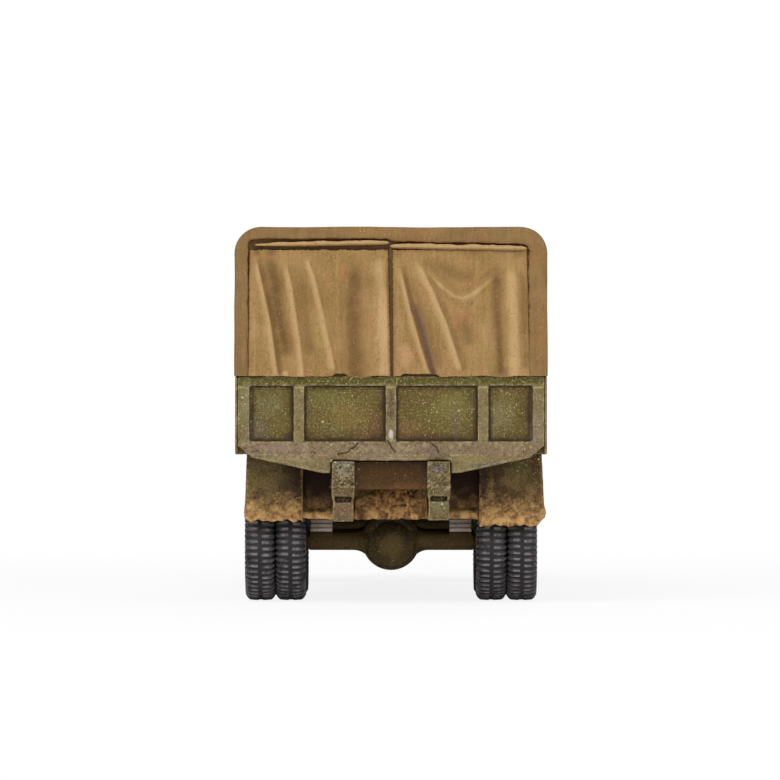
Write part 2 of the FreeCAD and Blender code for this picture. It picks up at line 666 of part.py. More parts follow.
rear_bowl = [s.bowl_radius, s.cover_radius, s.cover_rise, s.bowl_half]
for name, y in (("middle_axle", mid_axle_y), ("rear_axle", rear_axle_y)):
    axle(name, y, twin_beam_end, twin_pin_end, differential(name + "_bowl", y, *rear_bowl), True)
front_bowl = [s.front_bowl_radius, s.front_bowl_radius * 0.7, s.cover_rise * 0.6, s.bowl_half]
axle("front_axle", s.front_axle_y, front_beam_end, front_pin_end,
     differential("front_axle_bowl", s.front_axle_y, *front_bowl), False)


# ---- frame: two rails and the cross members between them ----

rail_in = s.rail_out - s.rail_wide
rail_front = s.front_end - s.bumper_thick
rail_z = (s.rail_low, s.rail_top)
CROSS_MEMBERS = (42.2, 14.6, 2.2, -11.2, -23.2, -34.4, -42.6)  # y of each
frame_parts = [block("rail_right", (rail_in, s.rail_out), (s.rail_rear, rail_front), rail_z)]
frame_parts.append(block("rail_left", (-s.rail_out, -rail_in), (s.rail_rear, rail_front), rail_z))
for i, y in enumerate(CROSS_MEMBERS):
    frame_parts.append(block(f"cross{i}", (-rail_in, rail_in), (y - s.cross_half, y + s.cross_half), rail_z))
node("chassis_frame", fuse("chassis_frame", frame_parts))


# ---- springs: nested leaves on one centre, arched up over the bogie and down over the front axle ----


def leaf(name, x, middle, half, inner, crown, up):
    """One leaf. inner is its radius on the hollow side, and crown the height of that side at its middle."""
    outer = inner + s.leaf_thick
    centre = crown - inner if up else crown + inner
    drop_in, drop_out = (root(r * r - half * half) for r in (inner, outer))
    left, right = middle - half, middle + half
    if up:
        points = [
            (left, centre + drop_in), (right, centre + drop_in, -inner), (right, centre + drop_out),
            (left, centre + drop_out, outer),
        ]
    else:
        points = [
            (left, centre - drop_out), (right, centre - drop_out, outer), (right, centre - drop_in),
            (left, centre - drop_in, -inner),
        ]
    return prism(name, "YZ", points, *x)


REAR_LEAVES = (0, 0.35, 0.7, 1.05, 3.6, 5.4)  # how much shorter than the longest, each side
FRONT_LEAVES = (0, 1.6, 3.2, 4.6)
front_leaf_low = s.tyre_radius + s.beam_radius + s.spring_seat

rear_spring = []
rear_x = (s.rail_out, s.rail_out + s.rear_leaf_wide)
for i, shorter in enumerate(REAR_LEAVES):
    rear_spring.append(leaf(f"rear_leaf{i}", rear_x, s.bogie_y, s.rear_leaf_half - shorter,
                            s.rear_leaf_arc + s.leaf_thick * i, s.rear_leaf_low + s.leaf_thick * i, True))
clamp_y = (s.bogie_y - s.clamp_half, s.bogie_y + s.clamp_half)
clamp_z = (s.rear_leaf_low - s.clamp_under, s.rail_top - s.clamp_drop)
rear_spring.append(block("rear_clamp", rear_x, clamp_y, clamp_z))
right_spring = fuse("rear_spring_right", rear_spring)
node("rear_springs", fuse("rear_springs", [right_spring, mirrored("rear_spring_left", right_spring)]))

front_spring = []
front_x = (rail_in, s.rail_out)
for i, shorter in enumerate(FRONT_LEAVES):
    front_spring.append(leaf(f"front_leaf{i}", front_x, s.front_axle_y, s.front_leaf_half - shorter,
                             s.front_leaf_arc + s.leaf_thick * (i - 1),
                             front_leaf_low + s.leaf_thick * (len(FRONT_LEAVES) - i), False))
long_leaf = s.front_leaf_arc
eye_out = s.front_leaf_half - s.shackle_set
eye_rise = long_leaf - root(long_leaf * long_leaf - eye_out * eye_out)
eye_z = front_leaf_low + s.leaf_thick * (len(FRONT_LEAVES) - 1) + eye_rise
for side in (-1, 1):
    eye_y = s.front_axle_y + eye_out * side
    front_spring.append(block(f"shackle{side}", front_x, (eye_y - s.shackle_half, eye_y + s.shackle_half),
                              (eye_z - s.shackle_under, s.rail_low)))
right_front = fuse("front_spring_right", front_spring)
node("front_springs", fuse("front_springs", [right_front, mirrored("front_spring_left", right_front)]))


# ---- front bumper with tow hooks, radiator, brush guard ----

bumper_y = (rail_front, s.front_end)
bumper_parts = [block("bumper_bar", (-s.bumper_half, s.bumper_half), bumper_y, (s.bumper_low, s.bumper_top))]
hook_face = s.front_end - s.hook_bar
hook_back = hook_face - s.hook_bar
hook_top = s.bumper_top + s.hook_high
hook_outline = [
    (rail_front, s.bumper_top), (hook_face, s.bumper_top), (hook_face, hook_top, s.hook_arc),
    (hook_back, hook_top), (hook_back, s.bumper_top + s.hook_foot), (rail_front, s.bumper_top + s.hook_foot),
]
for side in (-1, 1):
    low, high = rail_in + s.hook_bar, s.rail_out - s.hook_bar
    hook_x = (low, high) if side > 0 else (-high, -low)
    bumper_parts.append(prism(f"tow_hook{side}", "YZ", hook_outline, *hook_x))
node("front_bumper", fuse("front_bumper", bumper_parts))

FINS = 12


def hood(half, low, top, corner, crown):
    """A section with upright sides, rounded shoulders and a crowned top, which rises to top in the middle."""
    flat = half - corner
    shoulder_z = top - crown + root(crown * crown - flat * flat)
    return [
        (-half, low), (half, low), (half, shoulder_z - corner), (flat, shoulder_z, corner),
        (-flat, shoulder_z, crown), (-half, shoulder_z - corner, corner),
    ]


radiator_y = (s.bonnet_front, s.bonnet_front + s.radiator_thick)
front_size = (s.bonnet_front_half, s.rail_top, s.bonnet_front_top, s.bonnet_round, s.bonnet_crown)
shell_block = prism("radiator_block", "XZ", hood(*front_size), *radiator_y)
core_half = s.bonnet_front_half - s.radiator_frame
core_z = (s.rail_top + s.radiator_frame, s.bonnet_front_top - s.radiator_frame * 2)
core_y = (radiator_y[1] - s.core_deep, radiator_y[1])
core = block("radiator_recess", (-core_half, core_half), core_y, core_z)
shell = cut("radiator_shell", shell_block, [core])
fins = [shell]
fin_y = (core_y[0], core_y[1] - s.fin_set)
for i in range(1, FINS):
    x = core_half * (2 * i / FINS - 1)
    fins.append(block(f"fin{i}", (x - s.fin_half, x + s.fin_half), fin_y, core_z))
node("radiator", fuse("radiator", fins))

guard_y = (rail_front - s.guard_bar, rail_front)
half_bar = s.guard_bar / 2
GUARD_BARS = (-3.0, -2.0, -1.0, 0.0, 1.0, 2.0, 3.0)  # in sevenths of the guard's width
guard_parts = []
for i, place_x in enumerate(GUARD_BARS):
    x = (s.guard_half - half_bar) * (place_x / 3)
    low = s.rail_top if abs(place_x) == 3 else s.bumper_low + s.guard_up
    guard_parts.append(block(f"guard_bar{i}", (x - half_bar, x + half_bar), guard_y, (low, s.guard_top)))
for i, (z, half) in enumerate((
    (s.rail_top, s.guard_half), (s.wing_low, s.wing_half), (s.wing_top, s.wing_half),
    (s.guard_top - s.guard_bar, s.guard_half),
)):
    guard_parts.append(block(f"guard_rail{i}", (-half, half), guard_y, (z, z + s.guard_bar)))
for side in (-1, 1):
    x = (s.wing_half - s.guard_bar, s.wing_half) if side > 0 else (-s.wing_half, s.guard_bar - s.wing_half)
    guard_parts.append(block(f"guard_end{side}", x, guard_y, (s.wing_low, s.wing_top)))
node("brush_guard", fuse("brush_guard", guard_parts))

# ---- bonnet, front wings, headlamps, running boards ----

rear_size = (s.bonnet_rear_half, s.rail_top, s.bonnet_rear_top, s.bonnet_round, s.bonnet_crown)


def thinner(size):
    half, low, top, corner, crown = size
    wall = s.bonnet_wall
    return hood(half - wall, low - PAST, top - wall, corner - wall, crown)


def bonnet_loft(name, sections):
    return loft(name, "XZ", list(zip((s.cab_front, s.bonnet_front), sections)))


bonnet_solid = bonnet_loft("bonnet_outside", [hood(*rear_size), hood(*front_size)])
bonnet_room = bonnet_loft("bonnet_inside", [thinner(rear_size), thinner(front_size)])
LOUVRES = 7
louvre_x = (-s.bonnet_rear_half - PAST, s.bonnet_rear_half + PAST)
louvre_z = (s.rail_top + s.louvre_up, s.bonnet_rear_top - s.louvre_down)
louvres = []
for i in range(LOUVRES):
    y = s.cab_front + s.louvre_first + s.louvre_step * i
    louvres.append(block(f"louvre{i}", louvre_x, (y, y + s.louvre_wide), louvre_z))
louvre_core = bonnet_loft("louvre_core", [
    hood(size[0] - s.louvre_deep, size[1] - PAST, *size[2:]) for size in (rear_size, front_size)
])
louvre_room = cut("louvre_room", fuse("louvre_row", louvres), [louvre_core])
node("bonnet", cut("bonnet", bonnet_solid, [bonnet_room, louvre_room]))


def arch(radius, low):
    """The side of a front wing: two quarter rounds with a flat top between them, closed at this height."""
    left, right = s.arch_middle - s.arch_flat, s.arch_middle + s.arch_flat
    return [
        (left - radius, low), (right + radius, low), (right + radius, s.arch_low), (right, s.arch_low + radius, radius),
        (left, s.arch_low + radius), (left - radius, s.arch_low, radius),
    ]


def arch_sheet(radius):
    """The same without its straight feet."""
    return [p for i, p in enumerate(arch(radius, s.arch_low)) if i not in (0, 1)]


wing_outer = prism("wing_outside", "YZ", arch_sheet(s.arch_radius), s.wing_in, s.wing_out)
wing_room = prism("wing_inside", "YZ", arch(s.arch_radius - s.wing_thick, s.arch_low - PAST),
                  s.wing_in + s.wing_thick, s.wing_out + PAST)
right_wing = cut("wing_right", wing_outer, [wing_room, bonnet_solid])
node("front_wings", fuse("front_wings", [right_wing, mirrored("wing_left", right_wing)]))

lamp_outline = [(-s.lamp_deep, Size(0), s.lamp_deep * 1.2), (s.lamp_deep * 0.3, Size(0)),
                (Size(0), s.lamp_radius * 0.82, s.lens_arc), (Size(0), s.lamp_radius), (-s.lamp_rim, s.lamp_radius)]
lamps = []
for side in (-1, 1):
    lamp = place(turned(f"lamp{side}", lamp_outline), s.lamp_x * side, s.lamp_y, s.lamp_z, V(0, 0, 1), 90)
    stalk = rod(f"lamp_stalk{side}", "Z", s.lamp_x * side, s.lamp_y - s.lamp_deep * 0.5, s.arch_low,
                s.stalk_radius, s.lamp_z - s.arch_low)
    lamps += [lamp, stalk]
wing_left_outer = mirrored("wing_left_outside", wing_outer)
node("headlamps", cut("headlamps", fuse("lamps", lamps), [wing_outer, wing_left_outer]))

step_z = (s.arch_low + s.step_up, s.arch_low + s.step_up + s.wing_thick)
step_y = (s.step_rear, s.arch_middle - s.arch_flat - s.arch_radius + s.step_lap)
arm_low = step_z[0] - s.arm_deep
STEP_ARMS = (2, 12)  # from the rear end of the running board
step_parts = [block("step_sheet", (s.step_in, s.wing_out), step_y, step_z)]
step_parts.append(block("step_lip", (s.wing_out - s.lip_wide, s.wing_out), step_y,
                        (step_z[0] - s.lip_deep, step_z[0])))
for i, away in enumerate(STEP_ARMS):
    arm_y = (s.step_rear + away, s.step_rear + away + s.arm_wide)
    step_parts.append(block(f"step_arm{i}", (rail_in, s.wing_out - s.arm_short), arm_y, (arm_low, step_z[0])))
    step_parts.append(block(f"step_hanger{i}", (rail_in, s.rail_out), arm_y, (arm_low, s.rail_low)))
right_step = cut("step_right", fuse("step_right_parts", step_parts), [wing_outer])
node("running_boards", fuse("running_boards", [right_step, mirrored("step_left", right_step)]))

# ---- cab: an outer and an inner solid, each where three outlines meet, and the shell between them split ----

cab_low = s.rail_top - s.cab_rise
roof_split = s.roof_top - s.roof_drop
pane_top = roof_split - s.pane_head
across_cab = (-s.cab_half - PAST, s.cab_half + PAST)
along_cab = (s.cab_rear - PAST, s.cab_front + PAST)


def cab_solid(name, inset, low):
    half, roof, top = s.cab_half - inset, s.roof_half - inset, s.roof_top - inset
    rear, front = s.cab_rear + inset, s.cab_front - inset
    foot, head = s.screen_foot - inset, s.screen_head - inset
    side = prism(name + "_side", "YZ", [
        (rear, low), (front, low), (front, s.cowl_top - s.cowl_fall - inset),
        (foot, s.cowl_top + s.cowl_rise - inset), (head, s.roof_edge), (head - s.brow_long, top, s.brow_arc), (rear + s.tail_long, top),
        (rear, top - s.tail_drop, s.tail_arc),
    ], *across_cab)
    eave, eave_top = roof - s.eave_wide, top - s.eave_drop
    across = prism(name + "_front", "XZ", [
        (-half, low), (half, low), (half, s.belt_top), (roof, s.roof_edge), (eave, eave_top, s.eave_arc),
        (-eave, eave_top, s.roof_crown), (-roof, s.roof_edge, s.eave_arc), (-half, s.belt_top),
    ], *along_cab)
    corner, cowl = s.cab_corner - inset, s.cowl_half - inset
    draws_in = s.door_front + s.cowl_start
    plan = prism(name + "_plan", "XY", [
        (corner - half, rear, corner), (half - corner, rear), (half, rear + corner, corner), (half, draws_in),
        (cowl, front), (-cowl, front), (-half, draws_in), (-half, rear + corner),
    ], low, s.roof_top + PAST)
    return common(name, [side, across, plan])


def window(name, plane, across, up, corner, depth):
    """A window with rounded corners, cut between the two values of depth."""
    (left, right), (low, top) = across, up
    return prism(name, plane, [
        (left + corner, low, corner), (right - corner, low), (right, low + corner, corner), (right, top - corner),
        (right - corner, top, corner), (left + corner, top), (left, top - corner, corner), (left, low + corner),
    ], *depth)


cab_shell = cut("cab_hollow", cab_solid("cab_outside", Size(0), cab_low), [
    cab_solid("cab_room", s.cab_wall, cab_low - PAST),
    block("cab_over_rails", (-s.rail_out, s.rail_out), along_cab, (cab_low - PAST, s.rail_top)),
])
pane_z = (s.pane_low, pane_top)
door_pane_y = (s.door_rear + s.pane_border, s.door_front - s.pane_border)
screen_y = (s.screen_head - s.cab_wall, s.cab_front + PAST)
back_pane_z = (s.pane_low + s.back_pane_up, pane_top - s.back_pane_down)
windows = [
    window("door_panes", "YZ", door_pane_y, pane_z, s.pane_round, across_cab),
    window("pane_right", "XZ", (s.pillar_half, s.pane_out), pane_z, s.pane_round, screen_y),
    window("pane_left", "XZ", (-s.pane_out, -s.pillar_half), pane_z, s.pane_round, screen_y),
    window("back_pane", "XZ", (-s.back_pane_half, s.back_pane_half), back_pane_z, s.pane_round,
           (s.cab_rear - PAST, s.cab_rear + s.cab_wall + PAST)),
]
cab_open = cut("cab_open", cab_shell, windows)
door_low = cab_low + s.sill_high
door_y = (s.door_rear, s.door_front)

handle_z = s.pane_low - s.handle_drop
hinge_y = (s.door_front + s.cowl_start - s.hinge_long, s.door_front + s.cowl_start)
handle_y = (s.door_rear + s.handle_set, s.door_rear + s.handle_set + s.handle_long)
doors = []
for side in (-1, 1):
    x = (Size(0), across_cab[1]) if side > 0 else (across_cab[0], Size(0))
    y = (s.door_rear + s.door_gap, s.door_front - s.door_gap)
    z = (door_low + s.door_gap, roof_split - s.door_gap)
    panel = common(f"door_panel{side}", [cab_open, block(f"door_region{side}", x, y, z)])
    out = (s.cab_half, s.cab_half + s.handle_out) if side > 0 else (-s.cab_half - s.handle_out, -s.cab_half)
    bits = [panel]
    for i, hinge_z in enumerate((door_low + s.hinge_up, handle_z)):
        bits.append(block(f"hinge{side}_{i}", out, hinge_y, (hinge_z, hinge_z + s.hinge_high)))
    bits.append(block(f"handle{side}", out, handle_y, (handle_z, handle_z + s.handle_high)))
    doors.append(fuse(f"door{side}", bits))
node("cab_doors", fuse("cab_doors", doors))

walls_z = (cab_low - PAST, roof_split)
front_region = block("cab_front_region", across_cab, (s.door_front, along_cab[1]), walls_z)
back_region = fuse("cab_back_regions", [
    block("cab_back_region", across_cab, (along_cab[0], s.door_rear), walls_z),
    block("cab_sill_region", across_cab, door_y, (walls_z[0], door_low)),
])
roof_region = block("cab_roof_region", across_cab, along_cab, (roof_split, s.roof_top + PAST))
node("cab_front", common("cab_front_part", [cab_open, front_region]))
node("cab_back", common("cab_back_part", [cab_open, back_region]))
node("cab_roof", common("cab_roof_part", [cab_open, roof_region]))

glass_z = (s.cowl_top + s.cowl_rise, s.roof_edge)
foot_y, head_y = s.screen_foot - s.screen_set, s.screen_head - s.screen_set
glass_slab = prism("glass_slab", "YZ", [
    (foot_y - s.glass_thick, glass_z[0]), (foot_y, glass_z[0]), (head_y, glass_z[1]),
    (head_y - s.glass_thick, glass_z[1]),
], *across_cab)
node("windscreen", common("windscreen_panes", [glass_slab, fuse("pane_solids", windows[1:3])]))

inner_half = s.cab_half - s.cab_wall
cab_floor_z = (s.rail_top, s.rail_top + s.cab_floor_thick)
floor_blank = block("cab_floor_blank", (-inner_half, inner_half),
                    (s.cab_rear + s.cab_wall, s.cab_front - s.cab_wall), cab_floor_z)
node("cab_floor", common("cab_floor_part", [floor_blank, cab_solid("cab_floor_trim", s.cab_wall, cab_low)]))

seat_rear = s.cab_rear + s.cab_wall + s.seat_gap
cushion = block("seat_cushion", (-s.seat_half, s.seat_half), (seat_rear, seat_rear + s.seat_deep),
                (cab_floor_z[1], s.seat_top))
seat_back = block("seat_back", (-s.seat_half, s.seat_half), (seat_rear, seat_rear + s.seat_back_thick),
                  (s.seat_top, s.seat_back_top))
node("seat", fuse("bench_seat", [cushion, seat_back]))

COLUMN_RAKE = 32  # degrees from upright
rake = math.radians(COLUMN_RAKE)
column_foot = (s.driver_x, s.screen_head, s.rail_top - s.column_sunk)
ring_y = column_foot[1] - s.column_long * math.sin(rake)
ring_z = column_foot[2] + s.column_long * math.cos(rake)
ring = doc.addObject("Part::Torus", "wheel_ring")
bind(ring, "Radius1", s.wheel_ring)
bind(ring, "Radius2", s.wheel_wire)
place(ring, s.driver_x, ring_y, ring_z, V(1, 0, 0), COLUMN_RAKE)
column = doc.addObject("Part::Cylinder", "column")
bind(column, "Radius", s.wheel_wire)
bind(column, "Height", s.column_long)
place(column, *column_foot, V(1, 0, 0), COLUMN_RAKE)
spoke = rod("wheel_spoke", "X", s.driver_x - s.wheel_ring, ring_y, ring_z, s.wheel_wire * 0.8, s.wheel_ring * 2)
below_floor = block("column_trim", (-s.cab_half, s.cab_half), along_cab, (s.rail_low, cab_floor_z[1]))
node("steering_wheel", cut("steering_wheel", fuse("wheel_and_column", [ring, column, spoke]), [below_floor]))

# ---- engine, transfer case and shafts ----

engine_z = (s.engine_low, s.engine_top)
engine_parts = [block("engine", (-s.engine_half, s.engine_half), (s.engine_rear, s.engine_front), engine_z)]
engine_parts.append(block("gearbox", (-s.gearbox_half, s.gearbox_half), (s.gearbox_rear, s.engine_rear),
                          (s.engine_low, s.gearbox_top)))
mount_z = (s.rail_low + s.mount_up, s.rail_low + s.mount_up + s.mount_thick)
for i, y in enumerate((s.engine_rear + s.mount_set, s.engine_front - s.mount_set - s.mount_long)):
    engine_parts.append(block(f"engine_mount{i}", (-rail_in, rail_in), (y, y + s.mount_long), mount_z))
node("engine_block", fuse("engine_block", engine_parts))

transfer_z = (s.transfer_low, s.rail_low)
transfer_body = block("transfer_body", (-s.transfer_half, s.transfer_half), (s.transfer_rear, s.transfer_front),
                      transfer_z)
node("transfer_case", transfer_body)

shaft_z = s.transfer_low + s.shaft_radius + s.shaft_clear
shaft_parts = []
for i, (rear, front, z) in enumerate((
    (rear_axle_y, mid_axle_y, shaft_z),
    (mid_axle_y, s.transfer_rear, shaft_z),
    (s.transfer_front, s.front_axle_y, shaft_z),
    (s.transfer_front, s.gearbox_rear, s.rail_low - s.joint_radius),
)):
    shaft_parts.append(rod(f"shaft{i}", "Y", 0, rear, z, s.shaft_radius, front - rear))
SHAFT_JOINTS = (  # what a joint sits at, and how far in front of it the joint starts
    (s.transfer_rear, -1.2), (s.transfer_front, 0.2), (mid_axle_y, 2.2), (rear_axle_y, 2.2), (s.front_axle_y, -3.4),
)
for i, (at, ahead) in enumerate(SHAFT_JOINTS):
    shaft_parts.append(rod(f"shaft_joint{i}", "Y", 0, at + ahead, shaft_z, s.joint_radius, s.joint_long))
node("propeller_shafts", cut("propeller_shafts", fuse("shafts", shaft_parts), [
    nodes["rear_axle"], nodes["middle_axle"], nodes["front_axle"], transfer_body,
]))

# ---- fuel tank, locker, spare wheel ----

box_z = (s.tank_low, s.tank_top)
tank_body = window("tank_body", "XZ", (s.tank_in, s.tank_out), box_z, s.tank_round, (s.tank_rear, s.tank_front))
tank_parts = [tank_body]
hanger_z = (s.rail_low - s.hanger_under, s.rail_low + s.hanger_over)
hanger_x = (s.rail_out, s.tank_in + s.hanger_lap)
hanger_rear, hanger_front = s.tank_rear + s.strap_set, s.tank_front - s.strap_set - s.strap_wide
proud = s.strap_thick
for i, y in enumerate((hanger_rear, hanger_front)):
    strap_y = (y, y + s.strap_wide)
    tank_parts.append(window(f"strap{i}", "XZ", (s.tank_in - proud, s.tank_out + proud),
                             (s.tank_low - proud, s.tank_top + proud), s.tank_round + proud, strap_y))
    tank_parts.append(block(f"tank_hanger{i}", hanger_x, strap_y, hanger_z))
tank_parts.append(rod("filler", "Z", s.tank_out - s.filler_in, s.tank_front - s.filler_back, s.tank_top,
                      s.filler_radius, s.filler_high))
node("fuel_tank", fuse("fuel_tank", tank_parts))

locker_y = (s.tank_rear + s.locker_short, s.tank_front - s.locker_front_short)
lid_y = (locker_y[0] + s.lid_border, locker_y[1] - s.lid_border)
lid_z = (s.tank_low + s.lid_border, s.tank_top - s.lid_border)
latch_y = ((lid_y[0] + lid_y[1]) / 2 - s.latch_half, (lid_y[0] + lid_y[1]) / 2 + s.latch_half)
latch_top = s.tank_top - s.latch_drop
lid_face = -s.tank_out - s.lid_out
locker_parts = [block("locker_box", (-s.tank_out, -s.tank_in), locker_y, box_z)]
locker_parts.append(block("locker_lid", (lid_face, -s.tank_out), lid_y, lid_z))
locker_parts.append(block("locker_latch", (lid_face - s.lid_out, lid_face), latch_y,
                          (latch_top - s.latch_high, latch_top)))
for i, y in enumerate((hanger_rear, hanger_front)):
    locker_parts.append(block(f"locker_hanger{i}", (-hanger_x[1], -hanger_x[0]), (y, y + s.strap_wide), hanger_z))
node("tool_locker", fuse("tool_locker", locker_parts))

spare_z = s.rail_top + s.carrier_base + s.tyre_radius + s.spare_clear
spare_at = (s.spare_x, s.spare_y, spare_z, V(0, 0, 1), -90)
node("spare_tyre", place(tyre("spare_tyre", half_tyre, False), *spare_at))
disc = half_tyre - s.disc_set
disc_ring = disc - s.disc_dish
bead = half_tyre - s.bead_inset
spare_rim = place(turned("spare_rim_body", [
    (disc, Size(0)), (disc + s.rim_thick, Size(0)), (disc + s.rim_thick, s.hub_radius),
    (disc_ring + s.rim_thick, ring_radius), (bead, ring_radius), (bead, s.bead_radius), (-bead, s.bead_radius),
    (-bead, ring_radius), (disc_ring, ring_radius), (disc, s.hub_radius),
]), *spare_at)
post_y = (s.spare_y + half_tyre + s.spare_clear, s.spare_y + half_tyre + s.spare_clear + s.carrier_post)
bolt_rear = s.spare_y - disc - s.rim_thick
carrier = [spare_rim]
carrier.append(block("carrier_beam", (s.spare_x - s.carrier_long, s.rail_out), (s.spare_y - half_tyre, post_y[1]),
                     (s.rail_top, s.rail_top + s.carrier_base)))
carrier.append(block("carrier_post", (s.spare_x - s.post_half, s.spare_x + s.post_half), post_y,
                     (s.rail_top, spare_z + s.post_over)))
carrier.append(rod("carrier_bolt", "Y", s.spare_x, bolt_rear, spare_z, s.bolt_radius, post_y[0] - bolt_rear))
node("spare_rim", fuse("spare_rim", carrier))

# ---- cargo body ----

board_in = s.bed_half - s.board_thick
gate_half = s.bed_half - s.board_lip
gate_front = s.bed_rear + s.board_thick
board_z = (s.floor_low, s.board_top)
panel_z = (s.panel_low, s.panel_top)
head_rear = s.bed_front - s.board_thick
node("bed_floor", block("bed_floor_sheet", (-board_in, board_in), (gate_front, head_rear),
                        (s.floor_low, s.floor_low + s.floor_thick)))

SIDE_PANELS = 6
side_sheet = prism("side_sheet", "XY", [
    (board_in, gate_front), (gate_half, gate_front), (gate_half, s.bed_rear + s.gate_set),
    (s.bed_half, s.bed_rear + s.gate_set),
    (s.bed_half, s.bed_front), (board_in, s.bed_front),
], *board_z)
side_long = s.bed_front - s.bed_rear - s.side_post * 2 + s.rib_half * 2
pressed = []
for i in range(SIDE_PANELS):
    y = s.bed_rear + s.side_post + side_long / SIDE_PANELS * i
    pressed.append(block(f"side_panel{i}", (s.bed_half - s.panel_deep, s.bed_half + PAST),
                         (y, y + side_long / SIDE_PANELS - s.rib_half * 2), panel_z))
right_side = cut("side_right", side_sheet, pressed)
node("bed_sides", fuse("bed_sides", [right_side, mirrored("side_left", right_side)]))


def pressed_wall(name, half, y, face_in, ribs, post):
    """A board across the body with pressed panels on one face, between the ribs."""
    edges = [-half + post]
    for rib in ribs:
        edges += [rib - s.rib_half, rib + s.rib_half]
    edges.append(half - post)
    sheet_block = block(name + "_sheet", (-half, half), y, board_z)
    panels = []
    for i in range(0, len(edges), 2):
        panels.append(block(f"{name}_panel{i}", (edges[i], edges[i + 1]), face_in, panel_z))
    return cut(name, sheet_block, panels)


ribs_x = (-s.gate_rib_x, Size(0), s.gate_rib_x)
node("tailgate", pressed_wall("tailgate_board", gate_half, (s.bed_rear, gate_front),
                              (s.bed_rear - PAST, s.bed_rear + s.panel_deep), ribs_x, s.gate_post - s.board_lip))
node("headboard", pressed_wall("headboard_board", board_in, (head_rear, s.bed_front),
                               (s.bed_front - s.panel_deep, s.bed_front + PAST), ribs_x, s.side_post))

BOLSTERS = (-43.8, -29.2, -11.2, 0.6)  # middle of each
bolster_half = s.bed_half - s.bolster_short
bolster_outline = [
    (bolster_half, s.floor_low), (-bolster_half, s.floor_low), (-bolster_half, s.floor_low - s.bolster_tip),
    (-s.bolster_knee, s.bolster_low), (-s.rail_out, s.bolster_low), (-s.rail_out, s.rail_top),
    (s.rail_out, s.rail_top), (s.rail_out, s.bolster_low), (s.bolster_knee, s.bolster_low),
    (bolster_half, s.floor_low - s.bolster_tip),
]
bolsters = []
for i, y in enumerate(BOLSTERS):
    bolsters.append(prism(f"bolster{i}", "XZ", bolster_outline, y - s.bolster_thick / 2, y + s.bolster_thick / 2))
node("bed_bolsters", fuse("bed_bolsters", bolsters))

# ---- tilt: a hollow cover closed in front, a panel across the rear, and two flaps hung in its recess ----

tilt_half = s.bed_half + s.tilt_over
tilt_rear = s.bed_rear - s.end_proud
end_front = tilt_rear + s.end_thick


def tilt_outline(inset, low):
    half, top, corner = tilt_half - inset, s.tilt_top - inset, s.tilt_round - inset
    return [
        (-half, low), (half, low), (half, top - corner), (half - corner, top, corner), (corner - half, top),
        (-half, top - corner, corner),
    ]


tilt_solid = prism("tilt_outside", "XZ", tilt_outline(Size(0), s.board_top), end_front, s.bed_front)
tilt_room = prism("tilt_inside", "XZ", tilt_outline(s.tilt_wall, s.board_top - PAST), end_front - PAST,
                  s.bed_front - s.tilt_wall)
node("tilt_cover", cut("tilt_shell", tilt_solid, [tilt_room]))
recess_top = s.tilt_top - s.end_band
end_blank = prism("tilt_end", "XZ", tilt_outline(Size(0), s.board_top), tilt_rear, end_front)
recess_x = (s.band_left - tilt_half, tilt_half - s.band_right)
recess_y = (tilt_rear - PAST, tilt_rear + s.end_recess)
recess = block("end_recess", recess_x, recess_y, (s.board_top - PAST, recess_top))
node("tilt_rear_panel", cut("tilt_rear_panel", end_blank, [recess]))

flap_back = tilt_rear + s.end_recess
flap_face = flap_back - s.flap_thick
flap_low = s.board_top + s.flap_clear
FLAP_FOLDS = (
    # flap, place at the top and the bottom as a share of the flap's width, half width, share of fold_deep
    ("left", 0.04, 0.21, 0.7, 0.9),
    ("left", 0.26, 0.42, 0.9, 1.0),
    ("left", 0.48, 0.66, 1.0, 1.0),
    ("left", 0.86, 0.84, 0.6, 0.6),
    ("right", 0.07, 0.26, 0.6, 1.0),
    ("right", 0.18, 0.50, 1.0, 0.9),
    ("right", 0.62, 0.66, 0.7, 0.6),
    ("right", 0.88, 0.88, 0.9, 0.8),
)
flap_spans = {"left": (recess_x[0], -s.flap_gap), "right": (s.flap_gap, recess_x[1])}
roll_z = {
    "left": recess_top - s.roll_radius - s.roll_set_left,
    "right": recess_top - s.roll_radius - s.roll_set_right,
}
for flap, (left, right) in flap_spans.items():
    top = roll_z[flap] + s.roll_radius * 0.5
    pieces = [block(f"flap_{flap}_sheet", (left, right), (flap_face, flap_back), (flap_low, top))]
    pieces.append(rod(f"flap_{flap}_roll", "X", left + s.roll_short, flap_back - s.roll_radius, roll_z[flap],
                      s.roll_radius, right - left - s.roll_short * 2))
    for i, (owner, at_top, at_low, half_wide, high) in enumerate(FLAP_FOLDS):
        if owner != flap:
            continue
        rise = s.fold_deep * high
        arc = (half_wide * half_wide + rise * rise) / (rise * 2)
        sections = []
        for z, share in ((flap_low, at_low), (top, at_top)):
            x = left + (right - left) * share
            sections.append((z, [(x - half_wide, flap_face), (x + half_wide, flap_face, arc)]))
        pieces.append(loft(f"flap_{flap}_fold{i}", "XY", sections))
    node(f"rear_flap_{flap}", fuse(f"rear_flap_{flap}", pieces))

# ---- rear apron with the mud flaps, and the bumperettes ----

